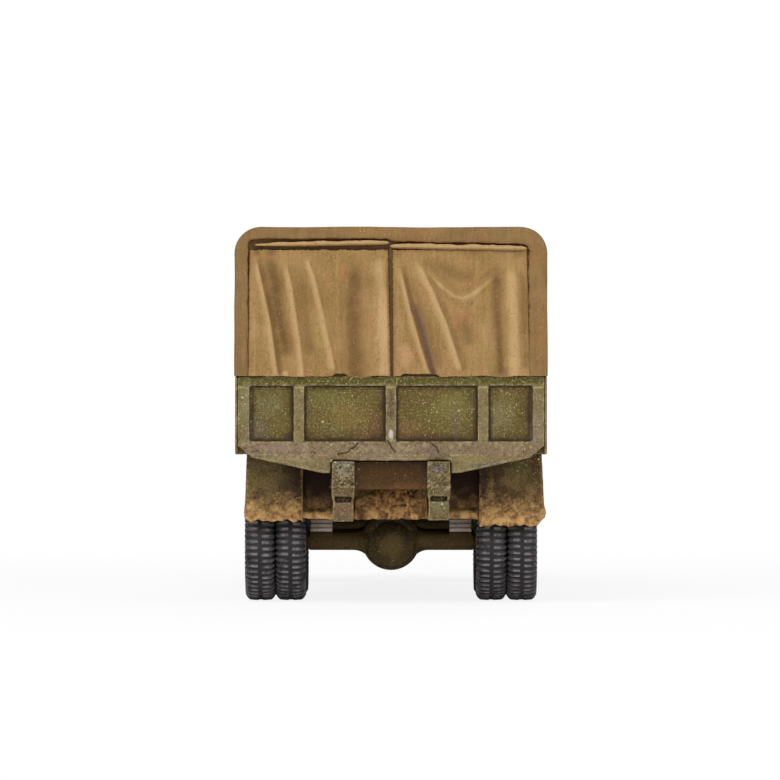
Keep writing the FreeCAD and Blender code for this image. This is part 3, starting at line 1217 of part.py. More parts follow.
apron_half = twin_x + s.tyre_width + s.apron_over
web_y = (s.apron_front - s.apron_web, s.apron_front)
flap_y = (s.apron_rear, s.apron_front)
apron_parts = [block("apron_web", (-apron_half, apron_half), web_y, (s.apron_low, s.floor_low))]
apron_parts.append(block("apron_flap_right", (s.flap_inner_x, apron_half), flap_y, (s.mud_flap_low, s.floor_low)))
apron_parts.append(block("apron_flap_left", (-apron_half, -s.flap_inner_x), flap_y, (s.mud_flap_low, s.floor_low)))
apron_parts.append(block("apron_middle", (-s.apron_centre, s.apron_centre), flap_y, (s.apron_low, s.floor_low)))
rail_slots = []
slot_z = (s.rail_low - s.rail_clear, s.rail_top + s.rail_clear)
for side in (-1, 1):
    low, high = rail_in - s.rail_clear, s.rail_out + s.rail_clear
    x = (low, high) if side > 0 else (-high, -low)
    rail_slots.append(block(f"apron_slot{side}", x, (s.apron_rear - PAST, s.apron_front + PAST), slot_z))
node("rear_apron", cut("apron", fuse("apron_sheets", apron_parts), rail_slots))

bumperette_outline = [
    (s.rail_rear, s.bumperette_low), (s.rear_end + s.nose_foot_set, s.bumperette_low),
    (s.rear_end + s.nose_foot_set, s.slot_top), (s.rear_end, s.nose_z), (s.rear_end + s.nose_set, s.nose_top),
    (s.rear_end + s.nose_set, s.rail_top), (s.rail_rear, s.rail_top),
]
slot_y = (s.rear_end - PAST, s.rear_end + s.slot_deep)
bumper_pair = []
for side in (-1, 1):
    middle = s.bumperette_x * side
    solid = prism(f"bumperette_block{side}", "YZ", bumperette_outline, middle - s.bumperette_half,
                  middle + s.bumperette_half)
    slot_x = (middle - s.bumperette_half + s.slot_end, middle + s.bumperette_half - s.slot_end)
    slot = block(f"bumperette_slot{side}", slot_x, slot_y, (s.slot_low, s.slot_top))
    bumper_pair.append(cut(f"bumperette{side}", solid, [slot]))
node("bumperettes", fuse("bumperettes", bumper_pair))


def write_parts():
    doc.recompute()
    for obj in doc.Objects:
        if "Invalid" in obj.State or "Error" in obj.State:
            raise RuntimeError(f"{obj.Label} failed: {obj.State}")
    os.makedirs("parts", exist_ok=True)
    for label, obj in nodes.items():
        shape = obj.Shape
        if shape.isNull() or not shape.isValid() or not shape.Solids:
            raise RuntimeError(f"{label} has no valid solid")
        shape.exportStep(f"parts/{label}.step")
        print(f"{label}: {len(shape.Solids)} solids, {shape.Volume:.2f} mm3")


write_parts()
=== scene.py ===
import json
import math
import random

import bpy
from mathutils import Matrix, Vector, noise


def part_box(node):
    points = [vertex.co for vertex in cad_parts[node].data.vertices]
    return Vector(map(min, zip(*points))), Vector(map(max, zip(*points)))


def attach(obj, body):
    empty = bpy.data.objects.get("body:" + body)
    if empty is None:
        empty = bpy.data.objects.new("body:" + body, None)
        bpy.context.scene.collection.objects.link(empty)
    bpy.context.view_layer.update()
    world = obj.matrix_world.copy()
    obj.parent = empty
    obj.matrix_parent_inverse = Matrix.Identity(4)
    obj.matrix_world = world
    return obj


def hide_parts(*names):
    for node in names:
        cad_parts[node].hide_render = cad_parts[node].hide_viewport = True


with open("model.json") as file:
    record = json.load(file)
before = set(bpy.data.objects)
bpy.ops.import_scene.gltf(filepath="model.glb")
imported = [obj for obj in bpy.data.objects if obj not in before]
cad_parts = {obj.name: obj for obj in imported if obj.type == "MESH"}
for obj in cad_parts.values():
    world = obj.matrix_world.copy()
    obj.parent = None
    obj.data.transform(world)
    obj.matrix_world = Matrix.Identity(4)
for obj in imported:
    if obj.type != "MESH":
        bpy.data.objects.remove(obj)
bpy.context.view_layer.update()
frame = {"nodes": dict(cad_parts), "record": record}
bodyOf = {node: body for body, members in frame["record"]["behaviour"]["bodies"].items() for node in members}
mm = 0.001
far = 999.0  # a reach that takes in the whole model
print("frame loaded:", len(frame["nodes"]), "nodes")


def box(node):  # lowest and highest corner in millimetres
    low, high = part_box(node)
    return low / mm, high / mm


def blend(low, high, share):
    return low + (high - low) * share


def eased(value, low, high):
    share = min(max((value - low) / (high - low), 0.0), 1.0)
    return share * share * (3 - 2 * share)


def srgb(red, green, blue):  # a paint colour as mixed on a screen, turned into light
    def linear(part):
        part /= 255
        return part / 12.92 if part <= 0.04045 else ((part + 0.055) / 1.055) ** 2.4
    return (linear(red), linear(green), linear(blue), 1.0)


# Finishes. Each one is mixed from a table of colours and amounts.


class Value:  # a socket that can stand in a Python expression
    def __init__(self, shader, socket):
        self.shader = shader
        self.socket = socket

    def maths(self, operation, first, second):
        return self.shader.add("ShaderNodeMath", {"operation": operation}, {0: first, 1: second})

    def __add__(self, other):
        return self.maths("ADD", self, other)

    def __sub__(self, other):
        return self.maths("SUBTRACT", self, other)

    def __rsub__(self, other):
        return self.maths("SUBTRACT", other, self)

    def __mul__(self, other):
        return self.maths("MULTIPLY", self, other)

    __radd__ = __add__
    __rmul__ = __mul__


class Shader:  # one material's nodes, and the paint laid on so far
    def __init__(self, name, look=None):
        self.look = look
        self.material = bpy.data.materials.new(name)
        self.material.use_nodes = True
        self.tree = self.material.node_tree
        self.tree.nodes.clear()
        self.output = self.tree.nodes.new("ShaderNodeOutputMaterial")
        self.surface = self.tree.nodes.new("ShaderNodeBsdfPrincipled")
        self.tree.links.new(self.surface.outputs[0], self.output.inputs["Surface"])
        self.point = self.add("ShaderNodeTexCoord", {}, {}, "Object")

    def add(self, kind, settings, inputs, output=0):
        made = self.tree.nodes.new(kind)
        for key, setting in settings.items():
            setattr(made, key, setting)
        for key, value in inputs.items():
            if isinstance(value, Value):
                self.tree.links.new(value.socket, made.inputs[key])
            else:
                made.inputs[key].default_value = value
        return Value(self, made.outputs[output])

    def feed(self, name, value):  # into the shader itself
        if isinstance(value, Value):
            self.tree.links.new(value.socket, self.surface.inputs[name])
        else:
            self.surface.inputs[name].default_value = value

    def axis(self, letter):  # this coordinate in millimetres
        return self.add("ShaderNodeSeparateXYZ", {}, {0: self.point}, letter) * 1000.0

    def stretched(self, scale):
        return self.add("ShaderNodeMapping", {}, {"Vector": self.point, "Scale": scale})

    def noise(self, size, detail=3.0, rough=0.55, point=None):  # size in millimetres
        inputs = {"Vector": point or self.point, "Scale": 1000.0 / size, "Detail": detail, "Roughness": rough}
        return self.add("ShaderNodeTexNoise", {}, inputs)

    def step(self, value, low, high):  # 0 below low, 1 above high, smooth between
        inputs = {"Value": value, "From Min": low, "From Max": high}
        return self.add("ShaderNodeMapRange", {"interpolation_type": "SMOOTHSTEP"}, inputs)

    def mix(self, amount, first, second):
        return self.add("ShaderNodeMix", {"data_type": "RGBA"}, {0: amount, 6: first, 7: second}, 2)

    def ground(self, amount, first, second):  # the two shades under everything else
        self.colour = self.mix(amount, srgb(*first), srgb(*second))

    def lay(self, amount, tint):  # a further layer, its colour given as it is or by its name in the table
        tint = self.look[tint] if isinstance(tint, str) else tint
        self.colour = self.mix(amount, self.colour, srgb(*tint))

    def own(self, name):  # the piece's own attribute
        return self.add("ShaderNodeAttribute", {"attribute_name": name}, {}, "Fac")

    def corner(self, reach, inside=False):  # near 0 in corners (or, inside, along edges), 1 on open faces
        settings = {"samples": 8, "inside": inside}
        return self.add("ShaderNodeAmbientOcclusion", settings, {"Distance": reach * mm}, "AO")

    def blot(self, centre, reach, ragged):  # 1 at the centre of a ragged soft spot, 0 past its reach
        offset = self.add("ShaderNodeVectorMath", {"operation": "SUBTRACT"},
                          {0: self.point, 1: [value * mm for value in centre]})
        share = self.add("ShaderNodeVectorMath", {"operation": "DIVIDE"},
                         {0: offset, 1: [value * mm for value in reach]})
        away = self.add("ShaderNodeVectorMath", {"operation": "LENGTH"}, {0: share}, "Value")
        return 1.0 - self.step(away + ragged * 1.6 - 0.8, 0.3, 1.05)

    def grains(self, size, share):  # scattered specks, as dust stuck in the paint
        inputs = {"Vector": self.point, "Scale": 1000.0 / size, "Randomness": 1.0}
        distance = self.add("ShaderNodeTexVoronoi", {"feature": "F1"}, inputs, "Distance")
        colour = self.add("ShaderNodeTexVoronoi", {"feature": "F1"}, inputs, "Color")
        pick = self.add("ShaderNodeSeparateColor", {}, {0: colour}, 0)
        return (1.0 - self.step(distance, 0.18, 0.42)) * self.step(pick, 1.0 - share, 1.02 - share)

    def bump(self, height, depth):  # depth in millimetres for a height of 1
        return self.add("ShaderNodeBump", {}, {"Strength": 1.0, "Distance": depth * mm, "Height": height})


def marksOn(node, rows):  # marks placed by shares of a node's width and height, with reaches in millimetres
    low, high = box(node)
    marks = []
    for across, up, wide, tall, tint, amount in rows:
        centre = (blend(low.x, high.x, across), (low.y + high.y) / 2, blend(low.z, high.z, up))
        marks.append((centre, (wide, far, tall), tint, amount))
    return marks


def paintedCast(name, look):  # mottled paint with marks, grain, a dark wash that is also painted shade in hollows and corners, dry-brushed edges, dust and mud
    shader = Shader(name, look)
    patches = shader.noise(look["patch"], 4.0, 0.6)
    shader.ground(shader.step(patches, 0.4, 0.6), look["base"], look["second"])
    ragged = shader.noise(0.9, 5.0, 0.7)
    fine = shader.noise(0.19, 2.0, 0.6)
    if "raised" in look:  # what stands proud of the pressed panels catches the brush
        letter, low, high = look["raised"]
        brushed = shader.step(shader.axis(letter), low, high) * (shader.step(ragged, 0.25, 0.7) * 0.5 + 0.4)
        shader.lay(brushed, "brushed")
    for centre, reach, tint, amount in look["marks"]:
        shader.lay(shader.blot(centre, reach, ragged) * amount, tint)
    if "sunk" in look:  # what lies deep is painted in shade
        letter, low, high = look["sunk"]
        shader.lay(shader.step(shader.axis(letter), low, high) * 0.93, "deep")
    shader.lay(shader.step(fine, 0.5, 0.72) * look["grain"], "pale")
    shader.lay((1.0 - shader.step(fine, 0.3, 0.48)) * look["grain"], "dark")
    worn = shader.step(ragged, 0.36, 0.6) * (shader.step(fine, 0.3, 0.6) * 0.6 + 0.4)
    if "flakes" in look:  # between two heights the paint has flaked
        low, high = look["flakes"]
        band = shader.step(shader.axis("Z"), low - 0.3, low + 0.1)
        band = band * (1.0 - shader.step(shader.axis("Z"), high, high + 0.3))
        band = band * shader.step(shader.noise(2.6, 2.0, 0.5), 0.4, 0.52)
        flake = shader.noise(0.7, 4.0, 0.7)
        shader.lay(band * shader.step(flake, 0.55, 0.62) * 0.5, "edge")
        shader.lay(band * (1.0 - shader.step(flake, 0.37, 0.44)) * 0.55, "washAndShade")
    if look["bent"]:
        bend = shader.own("bend") + ragged * 0.16 - 0.08
        edge = shader.step(bend, 0.74, 1.1) * worn
        # dark in concave creases: wash, and painted shade there
        line = 1.0 - shader.step(bend, -0.05, 0.26)
        # the piece's shade map: painted shade, and on the tailgate also its cracks and pooled wash
        shade = shader.own("shade") * (shader.step(ragged, 0.2, 0.7) * 0.5 + 0.5)
        shader.lay(shade, "washAndShade")
    else:
        edge = (1.0 - shader.step(shader.corner(look["edgeReach"], True), 0.45, 0.92)) * worn
        # dark along corners and joins: wash, and painted shade there
        line = 1.0 - shader.step(shader.corner(0.3) + fine * 0.5 - 0.25, 0.35, 0.72)
    shader.lay(edge * look["edgeAmount"], "edge")
    # darker through hollows and where parts meet: wash, and painted shade there
    hollow = 1.0 - shader.step(shader.corner(look["washAndShadeReach"]) + ragged * 0.4 - 0.2, 0.2, 0.9)
    shader.lay(hollow * look["washAndShadeAmount"], "washAndShade")
    shader.lay(line * 0.7, "washAndShade")
    cloud = shader.step(shader.noise(2.2, 3.0, 0.6), 0.42, 0.66)
    dust = shader.grains(0.2, look["dustShare"]) * (cloud * 0.9 + 0.1)
    chips = shader.grains(0.42, look["dustShare"] * 0.35) * cloud
    if look["bent"]:
        dust = dust * (1.0 - shader.own("shade"))
        chips = chips * (1.0 - shader.own("shade"))
    shader.lay(dust * 0.75, "dust")
    shader.lay(chips * 0.85, "dust")
    height = fine * 0.5 + ragged * 0.6 + dust * 0.5
    if "mud" in look:
        low, high, tint, deepTint = look["mud"]
        muddy = 1.0 - shader.step(shader.axis("Z") + ragged * 5.0 - 2.5, low, high)
        lumps = shader.noise(0.8, 5.0, 0.68)
        soil = shader.mix(shader.step(lumps, 0.34, 0.66), srgb(*deepTint), srgb(*tint))
        soil = shader.mix(shader.step(lumps, 0.62, 0.74) * 0.6, soil, srgb(*look["dust"]))
        shader.colour = shader.mix(muddy * 0.85, shader.colour, soil)
        height = height + muddy * lumps * 1.2
    shader.feed("Base Color", shader.colour)
    shader.feed("Roughness", fine * 0.25 + look["rough"])
    shader.feed("Specular IOR Level", 0.22)
    shader.feed("Normal", shader.bump(height, look["bump"]))
    return shader.material


olive = {
    "base": (106, 93, 54), "second": (92, 82, 42), "pale": (142, 130, 92), "dark": (62, 52, 26), "patch": 4.0,
    "grain": 0.5, "edge": (158, 145, 112), "edgeReach": 0.25, "edgeAmount": 0.7,
    "washAndShade": (46, 34, 16), "washAndShadeReach": 1.1, "washAndShadeAmount": 0.7,
    "dust": (206, 194, 136), "dustShare": 0.1, "rough": 0.6, "bump": 0.05, "marks": [], "bent": False,
}
gateMarks = marksOn("tailgate", [  # across and up the tailgate from 0 to 1, reach across and up, colour, amount
    (0.06, 0.3, 1.6, 2.2, (98, 86, 66), 0.7),
    (0.1, 0.62, 1.8, 1.6, (104, 98, 62), 0.6),
    (0.30, 0.7, 3.0, 1.6, (98, 90, 44), 0.8),
    (0.36, 0.5, 2.8, 1.8, (112, 92, 42), 0.7),
    (0.42, 0.26, 2.6, 0.8, (96, 64, 32), 0.7),
    (0.455, 0.38, 1.1, 2.2, (98, 66, 38), 0.7),
    (0.56, 0.3, 1.9, 1.5, (104, 76, 42), 0.75),
    (0.62, 0.2, 3.6, 0.9, (84, 56, 26), 0.85),
    (0.7, 0.62, 2.4, 1.9, (104, 96, 48), 0.8),
    (0.86, 0.5, 1.7, 2.4, (110, 100, 66), 0.7),
    (0.97, 0.3, 0.9, 2.4, (124, 108, 92), 0.8),
    (0.5, 0.06, far, 0.85, (118, 97, 76), 0.85),
    (0.15, 0.08, 3.4, 0.7, (128, 106, 92), 0.7),
    (0.5, 0.95, far, 0.72, (76, 68, 16), 1.0),
    (0.5, 0.62, 0.5, 2.4, (88, 70, 52), 0.95),
    (0.5, 0.855, far, 0.16, (164, 150, 96), 0.55),
    (0.03, 0.7, 0.7, 2.6, (112, 110, 74), 0.7),
    (0.5, 0.26, 0.3, 0.75, (186, 178, 176), 0.95),
    (0.43, 0.06, 2.8, 0.5, (138, 120, 94), 0.6),
    (0.63, 0.05, 2.4, 0.4, (104, 88, 80), 0.7),
    (0.71, 0.4, 0.5, 2.6, (96, 78, 60), 0.6),
])
sillMarks = marksOn("tailgate", [
    (0.76, -0.06, 1.8, 0.7, (134, 120, 72), 0.5),
    (0.2, -0.05, 2.8, 0.5, (144, 124, 96), 0.6),
    (0.83, -0.14, 2.4, 0.4, (84, 80, 84), 0.9),
    (0.5, -0.05, 3.8, 0.5, (128, 112, 90), 0.6),
])
bumperMarks = marksOn("bumperettes", [
    (0.1, 0.95, 1.2, 0.8, (112, 106, 96), 0.7),
    (0.1, 0.78, 0.8, 0.5, (92, 90, 88), 0.6),
    (0.1, 0.2, 1.4, 1.3, (108, 80, 58), 0.9),
    (0.9, 0.86, 0.9, 0.6, (88, 76, 80), 0.7),
    (0.9, 0.25, 1.3, 1.3, (108, 100, 66), 0.7),
])
apronMarks = marksOn("rear_apron", [
    (0.08, 0.85, 2.2, 1.6, (92, 80, 48), 0.7),
    (0.1, 0.4, 1.9, 0.7, (64, 48, 28), 0.7),
    (0.12, 0.62, 2.4, 1.2, (104, 88, 54), 0.6),
    # dark brown over the top of the middle: painted shade under the sill, with brown mud
    (0.5, 0.95, 5.0, 3.6, (74, 45, 13), 1.0),
    (0.5, 0.3, 4.4, 2.6, (130, 80, 38), 0.9),
    (0.36, 0.35, 2.2, 2.4, (48, 26, 10), 0.8),
    (0.83, 0.5, 0.5, 2.4, (172, 134, 78), 0.7),
    # painted shade in the deep recess beside the right bumperette
    (0.77, 0.4, 0.9, 2.2, (56, 34, 16), 0.8),
    (0.93, 0.75, 1.8, 1.8, (88, 78, 40), 0.7),
])
gate = box("tailgate")[0].y
frontMud = (8.4, 12.8, (132, 108, 72), (92, 70, 42))  # heights where it is thick and where it ends, two browns
finishes = {}
finishes["body"] = paintedCast("oliveBody", olive)
finishes["tailgate"] = paintedCast("oliveTailgate", {
    **olive, "base": (94, 80, 33), "second": (86, 70, 27), "brushed": (122, 108, 74), "dustShare": 0.2,
    "raised": ("Y", gate + 0.28, gate + 0.1), "marks": gateMarks + sillMarks, "bent": True, "grain": 0.6,
    "edge": (158, 142, 108), "edgeAmount": 0.75, "flakes": (15.0, 16.2),
    "washAndShadeReach": 0.9, "washAndShadeAmount": 0.7, "washAndShade": (44, 29, 11),
})
finishes["sides"] = paintedCast("oliveSides", {
    **olive, "dustShare": 0.16, "grain": 0.55, "mud": (12.4, 16.8, (132, 108, 72), (92, 70, 42)),
})
finishes["bumperettes"] = paintedCast("oliveBumperettes", {
    **olive, "base": (98, 83, 54), "second": (90, 74, 46), "edge": (158, 142, 108), "marks": bumperMarks,
    "grain": 0.65, "dustShare": 0.14, "washAndShade": (36, 24, 12), "bent": True, "flakes": (11.4, 14.3),
})
finishes["underside"] = paintedCast("darkUnderside", {
    **olive, "base": (88, 71, 38), "second": (74, 58, 28), "pale": (108, 92, 54), "dark": (48, 37, 16),
    "edge": (116, 100, 64), "edgeAmount": 0.5, "washAndShade": (32, 23, 10), "dustShare": 0.03,
})
finishes["frame"] = paintedCast("mudFrame", {
    **olive, "base": (84, 67, 36), "second": (68, 52, 26), "pale": (104, 88, 52), "dark": (44, 33, 14),
    "edge": (112, 94, 58), "edgeAmount": 0.5, "washAndShade": (32, 20, 8), "dustShare": 0.03, "marks": [
        # dark brown over the top of the middle: painted shade under the sill, with brown mud
        ((0, -43, 13.2), (6.5, 3.0, 3.6), (66, 41, 10), 1.0),
        ((1.9, -43, 11.6), (3.0, 3.0, 0.7), (98, 60, 28), 0.75),
        ((-2.6, -43, 11.3), (2.4, 3.0, 0.5), (90, 56, 26), 0.8),
    ],
})
finishes["axle"] = paintedCast("darkAxle", {
    **olive, "base": (88, 70, 37), "second": (76, 60, 31), "pale": (110, 92, 52), "dark": (50, 38, 16),
    "edge": (122, 104, 62), "edgeAmount": 0.4, "washAndShade": (32, 23, 9), "dustShare": 0.03, "marks": [
        # painted shade in a ring round the differential cover, and a painted highlight on its lower middle
        ((0, -31, 6.0), (3.9, far, 3.9), (32, 23, 9), 1.0),
        ((0.1, -31, 5.5), (2.2, far, 2.1), (92, 75, 40), 0.95),
    ],
})
finishes["springs"] = paintedCast("scuffedSpringsWithPaintedLight", {
    **olive, "base": (92, 78, 56), "second": (76, 62, 42), "pale": (112, 98, 76), "dark": (54, 42, 26),
    "edge": (130, 114, 90), "washAndShade": (48, 36, 26), "dustShare": 0.05, "washAndShadeReach": 0.4, "washAndShadeAmount": 0.35, "marks": [
        # the rear ends of the springs painted pale: grey-mauve scuffs, made paler still as painted light where they
        # lie in shade
        ((0, box("rear_springs")[0].y, 8), (far, 2.6, far), (206, 186, 174), 1.0),
    ],
})
# the apron: what lies back is painted in shade, and its own shade map adds painted shade in the recesses
finishes["apron"] = paintedCast("muddyApronWithPaintedShade", {
    **olive, "base": (100, 81, 44), "second": (64, 46, 20), "pale": (134, 112, 66), "dark": (44, 28, 10),
    "patch": 2.6, "edge": (164, 134, 84), "edgeAmount": 0.6, "washAndShade": (38, 18, 7), "washAndShadeReach": 1.8, "washAndShadeAmount": 0.7,
    "dustShare": 0.24, "dust": (214, 186, 116), "mud": (7.6, 11.6, (212, 168, 108), (106, 68, 32)), "bump": 0.09,
    "sunk": ("Y", -39.5, -38.6), "deep": (38, 18, 7), "marks": apronMarks, "grain": 0.4, "bent": True,
})
finishes["front"] = paintedCast("oliveFront", {**olive, "mud": frontMud})
finishes["bodyWorn"] = paintedCast("oliveWornBody", {**olive, "bent": True})
finishes["frontWorn"] = paintedCast("oliveWornFront", {**olive, "bent": True, "mud": frontMud})
finishes["rims"] = paintedCast("oliveRims", {**olive, "washAndShadeReach": 1.0, "washAndShade": (40, 30, 16)})
finishes["seat"] = paintedCast("brownSeat", {
    **olive, "base": (92, 62, 38), "second": (78, 52, 32), "pale": (112, 82, 54), "dark": (46, 30, 18),
    "edge": (130, 98, 66), "dustShare": 0.02,
})
finishes["blacked"] = paintedCast("blackedSteel", {
    **olive, "base": (44, 42, 40), "second": (34, 33, 32), "pale": (70, 68, 64), "dark": (18, 17, 16),
    "edge": (106, 102, 96), "washAndShade": (12, 11, 10), "dustShare": 0.02, "rough": 0.45,
})
print("paints mixed:", len(finishes))


def tyrePaint(name, look):
    shader = Shader(name, look)
    ragged = shader.noise(0.9, 4.0, 0.65)
    fine = shader.noise(0.2, 2.0, 0.6)
    shader.ground(shader.step(ragged, 0.35, 0.65), look["base"], look["second"])
    shader.lay(shader.step(fine, 0.5, 0.72) * 0.5, "pale")
    worn = shader.step(ragged, 0.3, 0.55) * (shader.step(fine, 0.3, 0.6) * 0.5 + 0.5)
    edge = (1.0 - shader.step(shader.corner(0.16, True), 0.35, 0.9)) * worn
    shader.lay(edge * look["edgeAmount"], "edge")
    # darker in the grooves and where the tyre meets other parts: painted shade
    hollow = 1.0 - shader.step(shader.corner(0.5), 0.35, 0.9)
    shader.lay(hollow * 0.9, "washAndShade")
    shader.feed("Base Color", shader.colour)
    shader.feed("Roughness", ragged * 0.25 + 0.42)
    shader.feed("Specular IOR Level", 0.4)
    shader.feed("Normal", shader.bump(fine + ragged, 0.04))
    return shader.material


finishes["tyres"] = tyrePaint("dryBrushedTyre", {
    "base": (27, 26, 30), "second": (18, 17, 22), "pale": (48, 45, 47), "edge": (142, 135, 136), "edgeAmount": 0.85,
    "washAndShade": (8, 7, 9),
})


def canvasPaint(name, look):  # moulded canvas; "fold" lightens ridges, and along the tops of the rolls it is a painted highlight; the map of dirt and shade speckles hollows with dirt and lays painted shade under the rolls; "stain" is a wash
    shader = Shader(name, look)
    patches = shader.noise(4.0, 4.0, 0.6)
    shader.ground(shader.step(patches, 0.4, 0.6), look["base"], look["second"])
    ragged = shader.noise(0.9, 5.0, 0.7)
    fine = shader.noise(0.18, 2.0, 0.6)
    streaks = shader.noise(1.0, 4.0, 0.6, shader.stretched((2.6, 1.0, 0.3)))
    for centre, reach, tint, amount in look["marks"]:
        shader.lay(shader.blot(centre, reach, ragged) * amount, tint)
    shader.lay(shader.step(streaks, 0.5, 0.75) * 0.45, "pale")
    shader.lay((1.0 - shader.step(streaks, 0.3, 0.46)) * 0.3, "hollow")
    threads = shader.noise(0.4, 3.0, 0.65, shader.stretched((2.6, 1.0, 0.4)))
    shader.lay(shader.step(threads, 0.52, 0.72) * 0.28, "pale")
    shader.lay((1.0 - shader.step(threads, 0.3, 0.47)) * 0.18, "dirt")
    blush = shader.step(shader.noise(2.6, 4.0, 0.65), 0.52, 0.68)
    shader.lay(blush * 0.5, "warm")
    shader.lay(shader.step(shader.noise(1.9, 4.0, 0.65), 0.54, 0.7) * 0.4, "green")
    height = fine * 0.5 + streaks * 0.6 + threads * 0.5 + ragged * 0.5
    if look["folds"]:
        fold = shader.own("fold")
        shader.lay(shader.step(fold + streaks * 0.2 - 0.1, 0.53, 0.95) * 0.7, "ridge")
        shader.lay((1.0 - shader.step(fold, 0.1, 0.47)) * 0.6, "hollow")
        speckle = shader.step(fine + ragged * 0.5, 0.6, 0.86) * 0.75 + 0.2
        shader.lay(shader.own("dirt") * speckle, "dirt")
        shader.lay(shader.own("stain") * (speckle * 0.4 + 0.5), "stain")
    shader.lay(shader.step(fine, 0.52, 0.74) * 0.4, "pale")
    shader.lay((1.0 - shader.step(fine, 0.28, 0.46)) * 0.4, "dirt")
    # darker through hollows and where parts meet: wash, and painted shade there
    hollow = 1.0 - shader.step(shader.corner(look["washAndShadeReach"]) + ragged * 0.5 - 0.25, 0.25, 0.8)
    shader.lay(hollow * look["washAndShadeAmount"], "washAndShade")
    crumbs = shader.noise(0.45, 4.0, 0.75)
    # a crumbly dark line in the corners round the recess and the flaps: painted shade, and wash
    line = 1.0 - shader.step(shader.corner(0.34) + crumbs * 1.2 - 0.6, 0.28, 0.66)
    shader.lay(line * 0.85, "washAndShade")
    soot = shader.step(shader.noise(0.4, 4.0, 0.75), 0.58, 0.72) * shader.step(patches, 0.5, 0.62)
    shader.lay(soot * 0.3, "washAndShade")
    dust = shader.grains(0.19, 0.07) * shader.step(shader.noise(2.6, 3.0, 0.6), 0.5, 0.64)
    shader.lay(dust * 0.55, (206, 184, 130))
    if look["sunk"]:
        # painted shade on the floor of the recess
        shader.lay(shader.own("shade") * (ragged * 0.9 + 0.2), "washAndShade")
    shader.feed("Base Color", shader.colour)
    shader.feed("Roughness", ragged * 0.2 + 0.55)
    shader.feed("Specular IOR Level", 0.22)
    shader.feed("Normal", shader.bump(height + dust * 0.4, 0.05))
    return shader.material


canvas = {
    "base": (130, 101, 60), "second": (123, 93, 53), "pale": (146, 118, 76), "hollow": (110, 80, 44), "folds": True,
    "dirt": (82, 56, 26), "washAndShade": (60, 33, 11), "washAndShadeReach": 0.8, "washAndShadeAmount": 0.8, "sunk": True,
    "warm": (136, 96, 56), "green": (112, 90, 42), "ridge": (150, 122, 80), "stain": (78, 52, 40),
    "marks": marksOn("tilt_cover", [
        (0.02, 0.6, 0.9, 3.0, (112, 82, 48), 0.5),
        (0.5, 0.97, 9.0, 0.6, (136, 104, 58), 0.5),
        (0.98, 0.3, 0.9, 3.4, (132, 98, 54), 0.6),
        (0.09, 0.86, 1.6, 0.8, (98, 66, 34), 0.5),
        (0.06, 0.1, 1.2, 1.4, (110, 76, 52), 0.5),
    ]),
}
finishes["tilt"] = canvasPaint("paintedTilt", canvas)
finishes["flaps"] = canvasPaint("paintedFlaps", {
    **canvas, "base": (148, 116, 70), "second": (136, 106, 58), "pale": (168, 136, 92), "sunk": False,
    "ridge": (184, 152, 106), "hollow": (116, 84, 42), "dirt": (78, 52, 16), "stain": (76, 48, 50),
    "warm": (160, 112, 72), "green": (124, 100, 46), "washAndShadeReach": 0.5, "washAndShadeAmount": 0.6,
    "marks": marksOn("rear_flap_left", [
        (0.78, 0.55, 0.9, 3.4, (158, 116, 76), 0.8),
        (0.5, 0.3, 1.5, 2.2, (148, 124, 70), 0.7),
        (0.4, 0.55, 0.6, 2.6, (136, 110, 62), 0.7),
        (0.95, 0.35, 0.8, 4.0, (182, 150, 106), 0.6),
    ]) + marksOn("rear_flap_right", [
        (0.1, 0.15, 0.9, 1.6, (176, 136, 98), 0.7),
        (0.5, 0.42, 1.2, 1.6, (158, 112, 74), 0.5),
        (-0.02, 0.93, 0.17, 0.15, (44, 24, 8), 1.0),
        (-0.03, 0.985, 0.14, 0.12, (44, 24, 8), 1.0),
        (0.48, 0.25, 0.9, 1.2, (138, 104, 66), 0.7),
        (0.5, 0.72, 2.0, 1.4, (146, 116, 66), 0.7),
        (0.85, 0.1, 1.8, 0.7, (172, 142, 84), 0.5),
        (0.5, 0.97, 6.4, 0.8, (140, 106, 64), 0.7),
    ]),
})


def glassFinish():
    shader = Shader("clearPane")
    smear = shader.noise(4.0, 2.0, 0.5)
    shader.ground(smear, (88, 94, 88), (74, 78, 70))
    shader.feed("Base Color", shader.colour)
    shader.feed("Roughness", smear * 0.1 + 0.26)
    shader.feed("Alpha", smear * 0.06 + 0.27)
    return shader.material


def lampGlass():
    shader = Shader("paintedLens")
    ring = shader.noise(0.5, 2.0, 0.5)
    shader.ground(ring, (196, 198, 190), (150, 154, 152))
    shader.feed("Base Color", shader.colour)
    shader.feed("Roughness", ring * 0.15 + 0.12)
    shader.feed("Metallic", 0.5)
    return shader.material


finishes["glass"] = glassFinish()
finishes["lens"] = lampGlass()

# How pieces are made.


def pick(*pieces):
    bpy.ops.object.select_all(action="DESELECT")
    for piece in pieces:
        piece.select_set(True)
    bpy.context.view_layer.objects.active = pieces[0]


def edit(piece, mode="FACE"):
    pick(piece)
    bpy.ops.object.mode_set(mode="EDIT")
    bpy.ops.mesh.select_mode(type=mode)
    bpy.ops.mesh.select_all(action="SELECT")


def leave():
    bpy.ops.object.mode_set(mode="OBJECT")


def settle(piece):  # its place goes into its mesh
    pick(piece)
    bpy.ops.object.transform_apply(location=True, rotation=True, scale=True)


def applied(piece, kind, **settings):
    pick(piece)
    made = piece.modifiers.new(kind.title(), kind)
    for key, value in settings.items():
        setattr(made, key, value)
    bpy.ops.object.modifier_apply(modifier=made.name)


def smooth(piece, angle=38):
    pick(piece)
    bpy.ops.object.shade_smooth_by_angle(angle=math.radians(angle))


def finish(piece, name, finishName, body, replaced=()):
    piece.name = name
    if finishName:
        piece.data.materials.clear()
        piece.data.materials.append(finishes[finishName])
    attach(piece, body)
    if replaced:
        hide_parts(*replaced)
    return piece


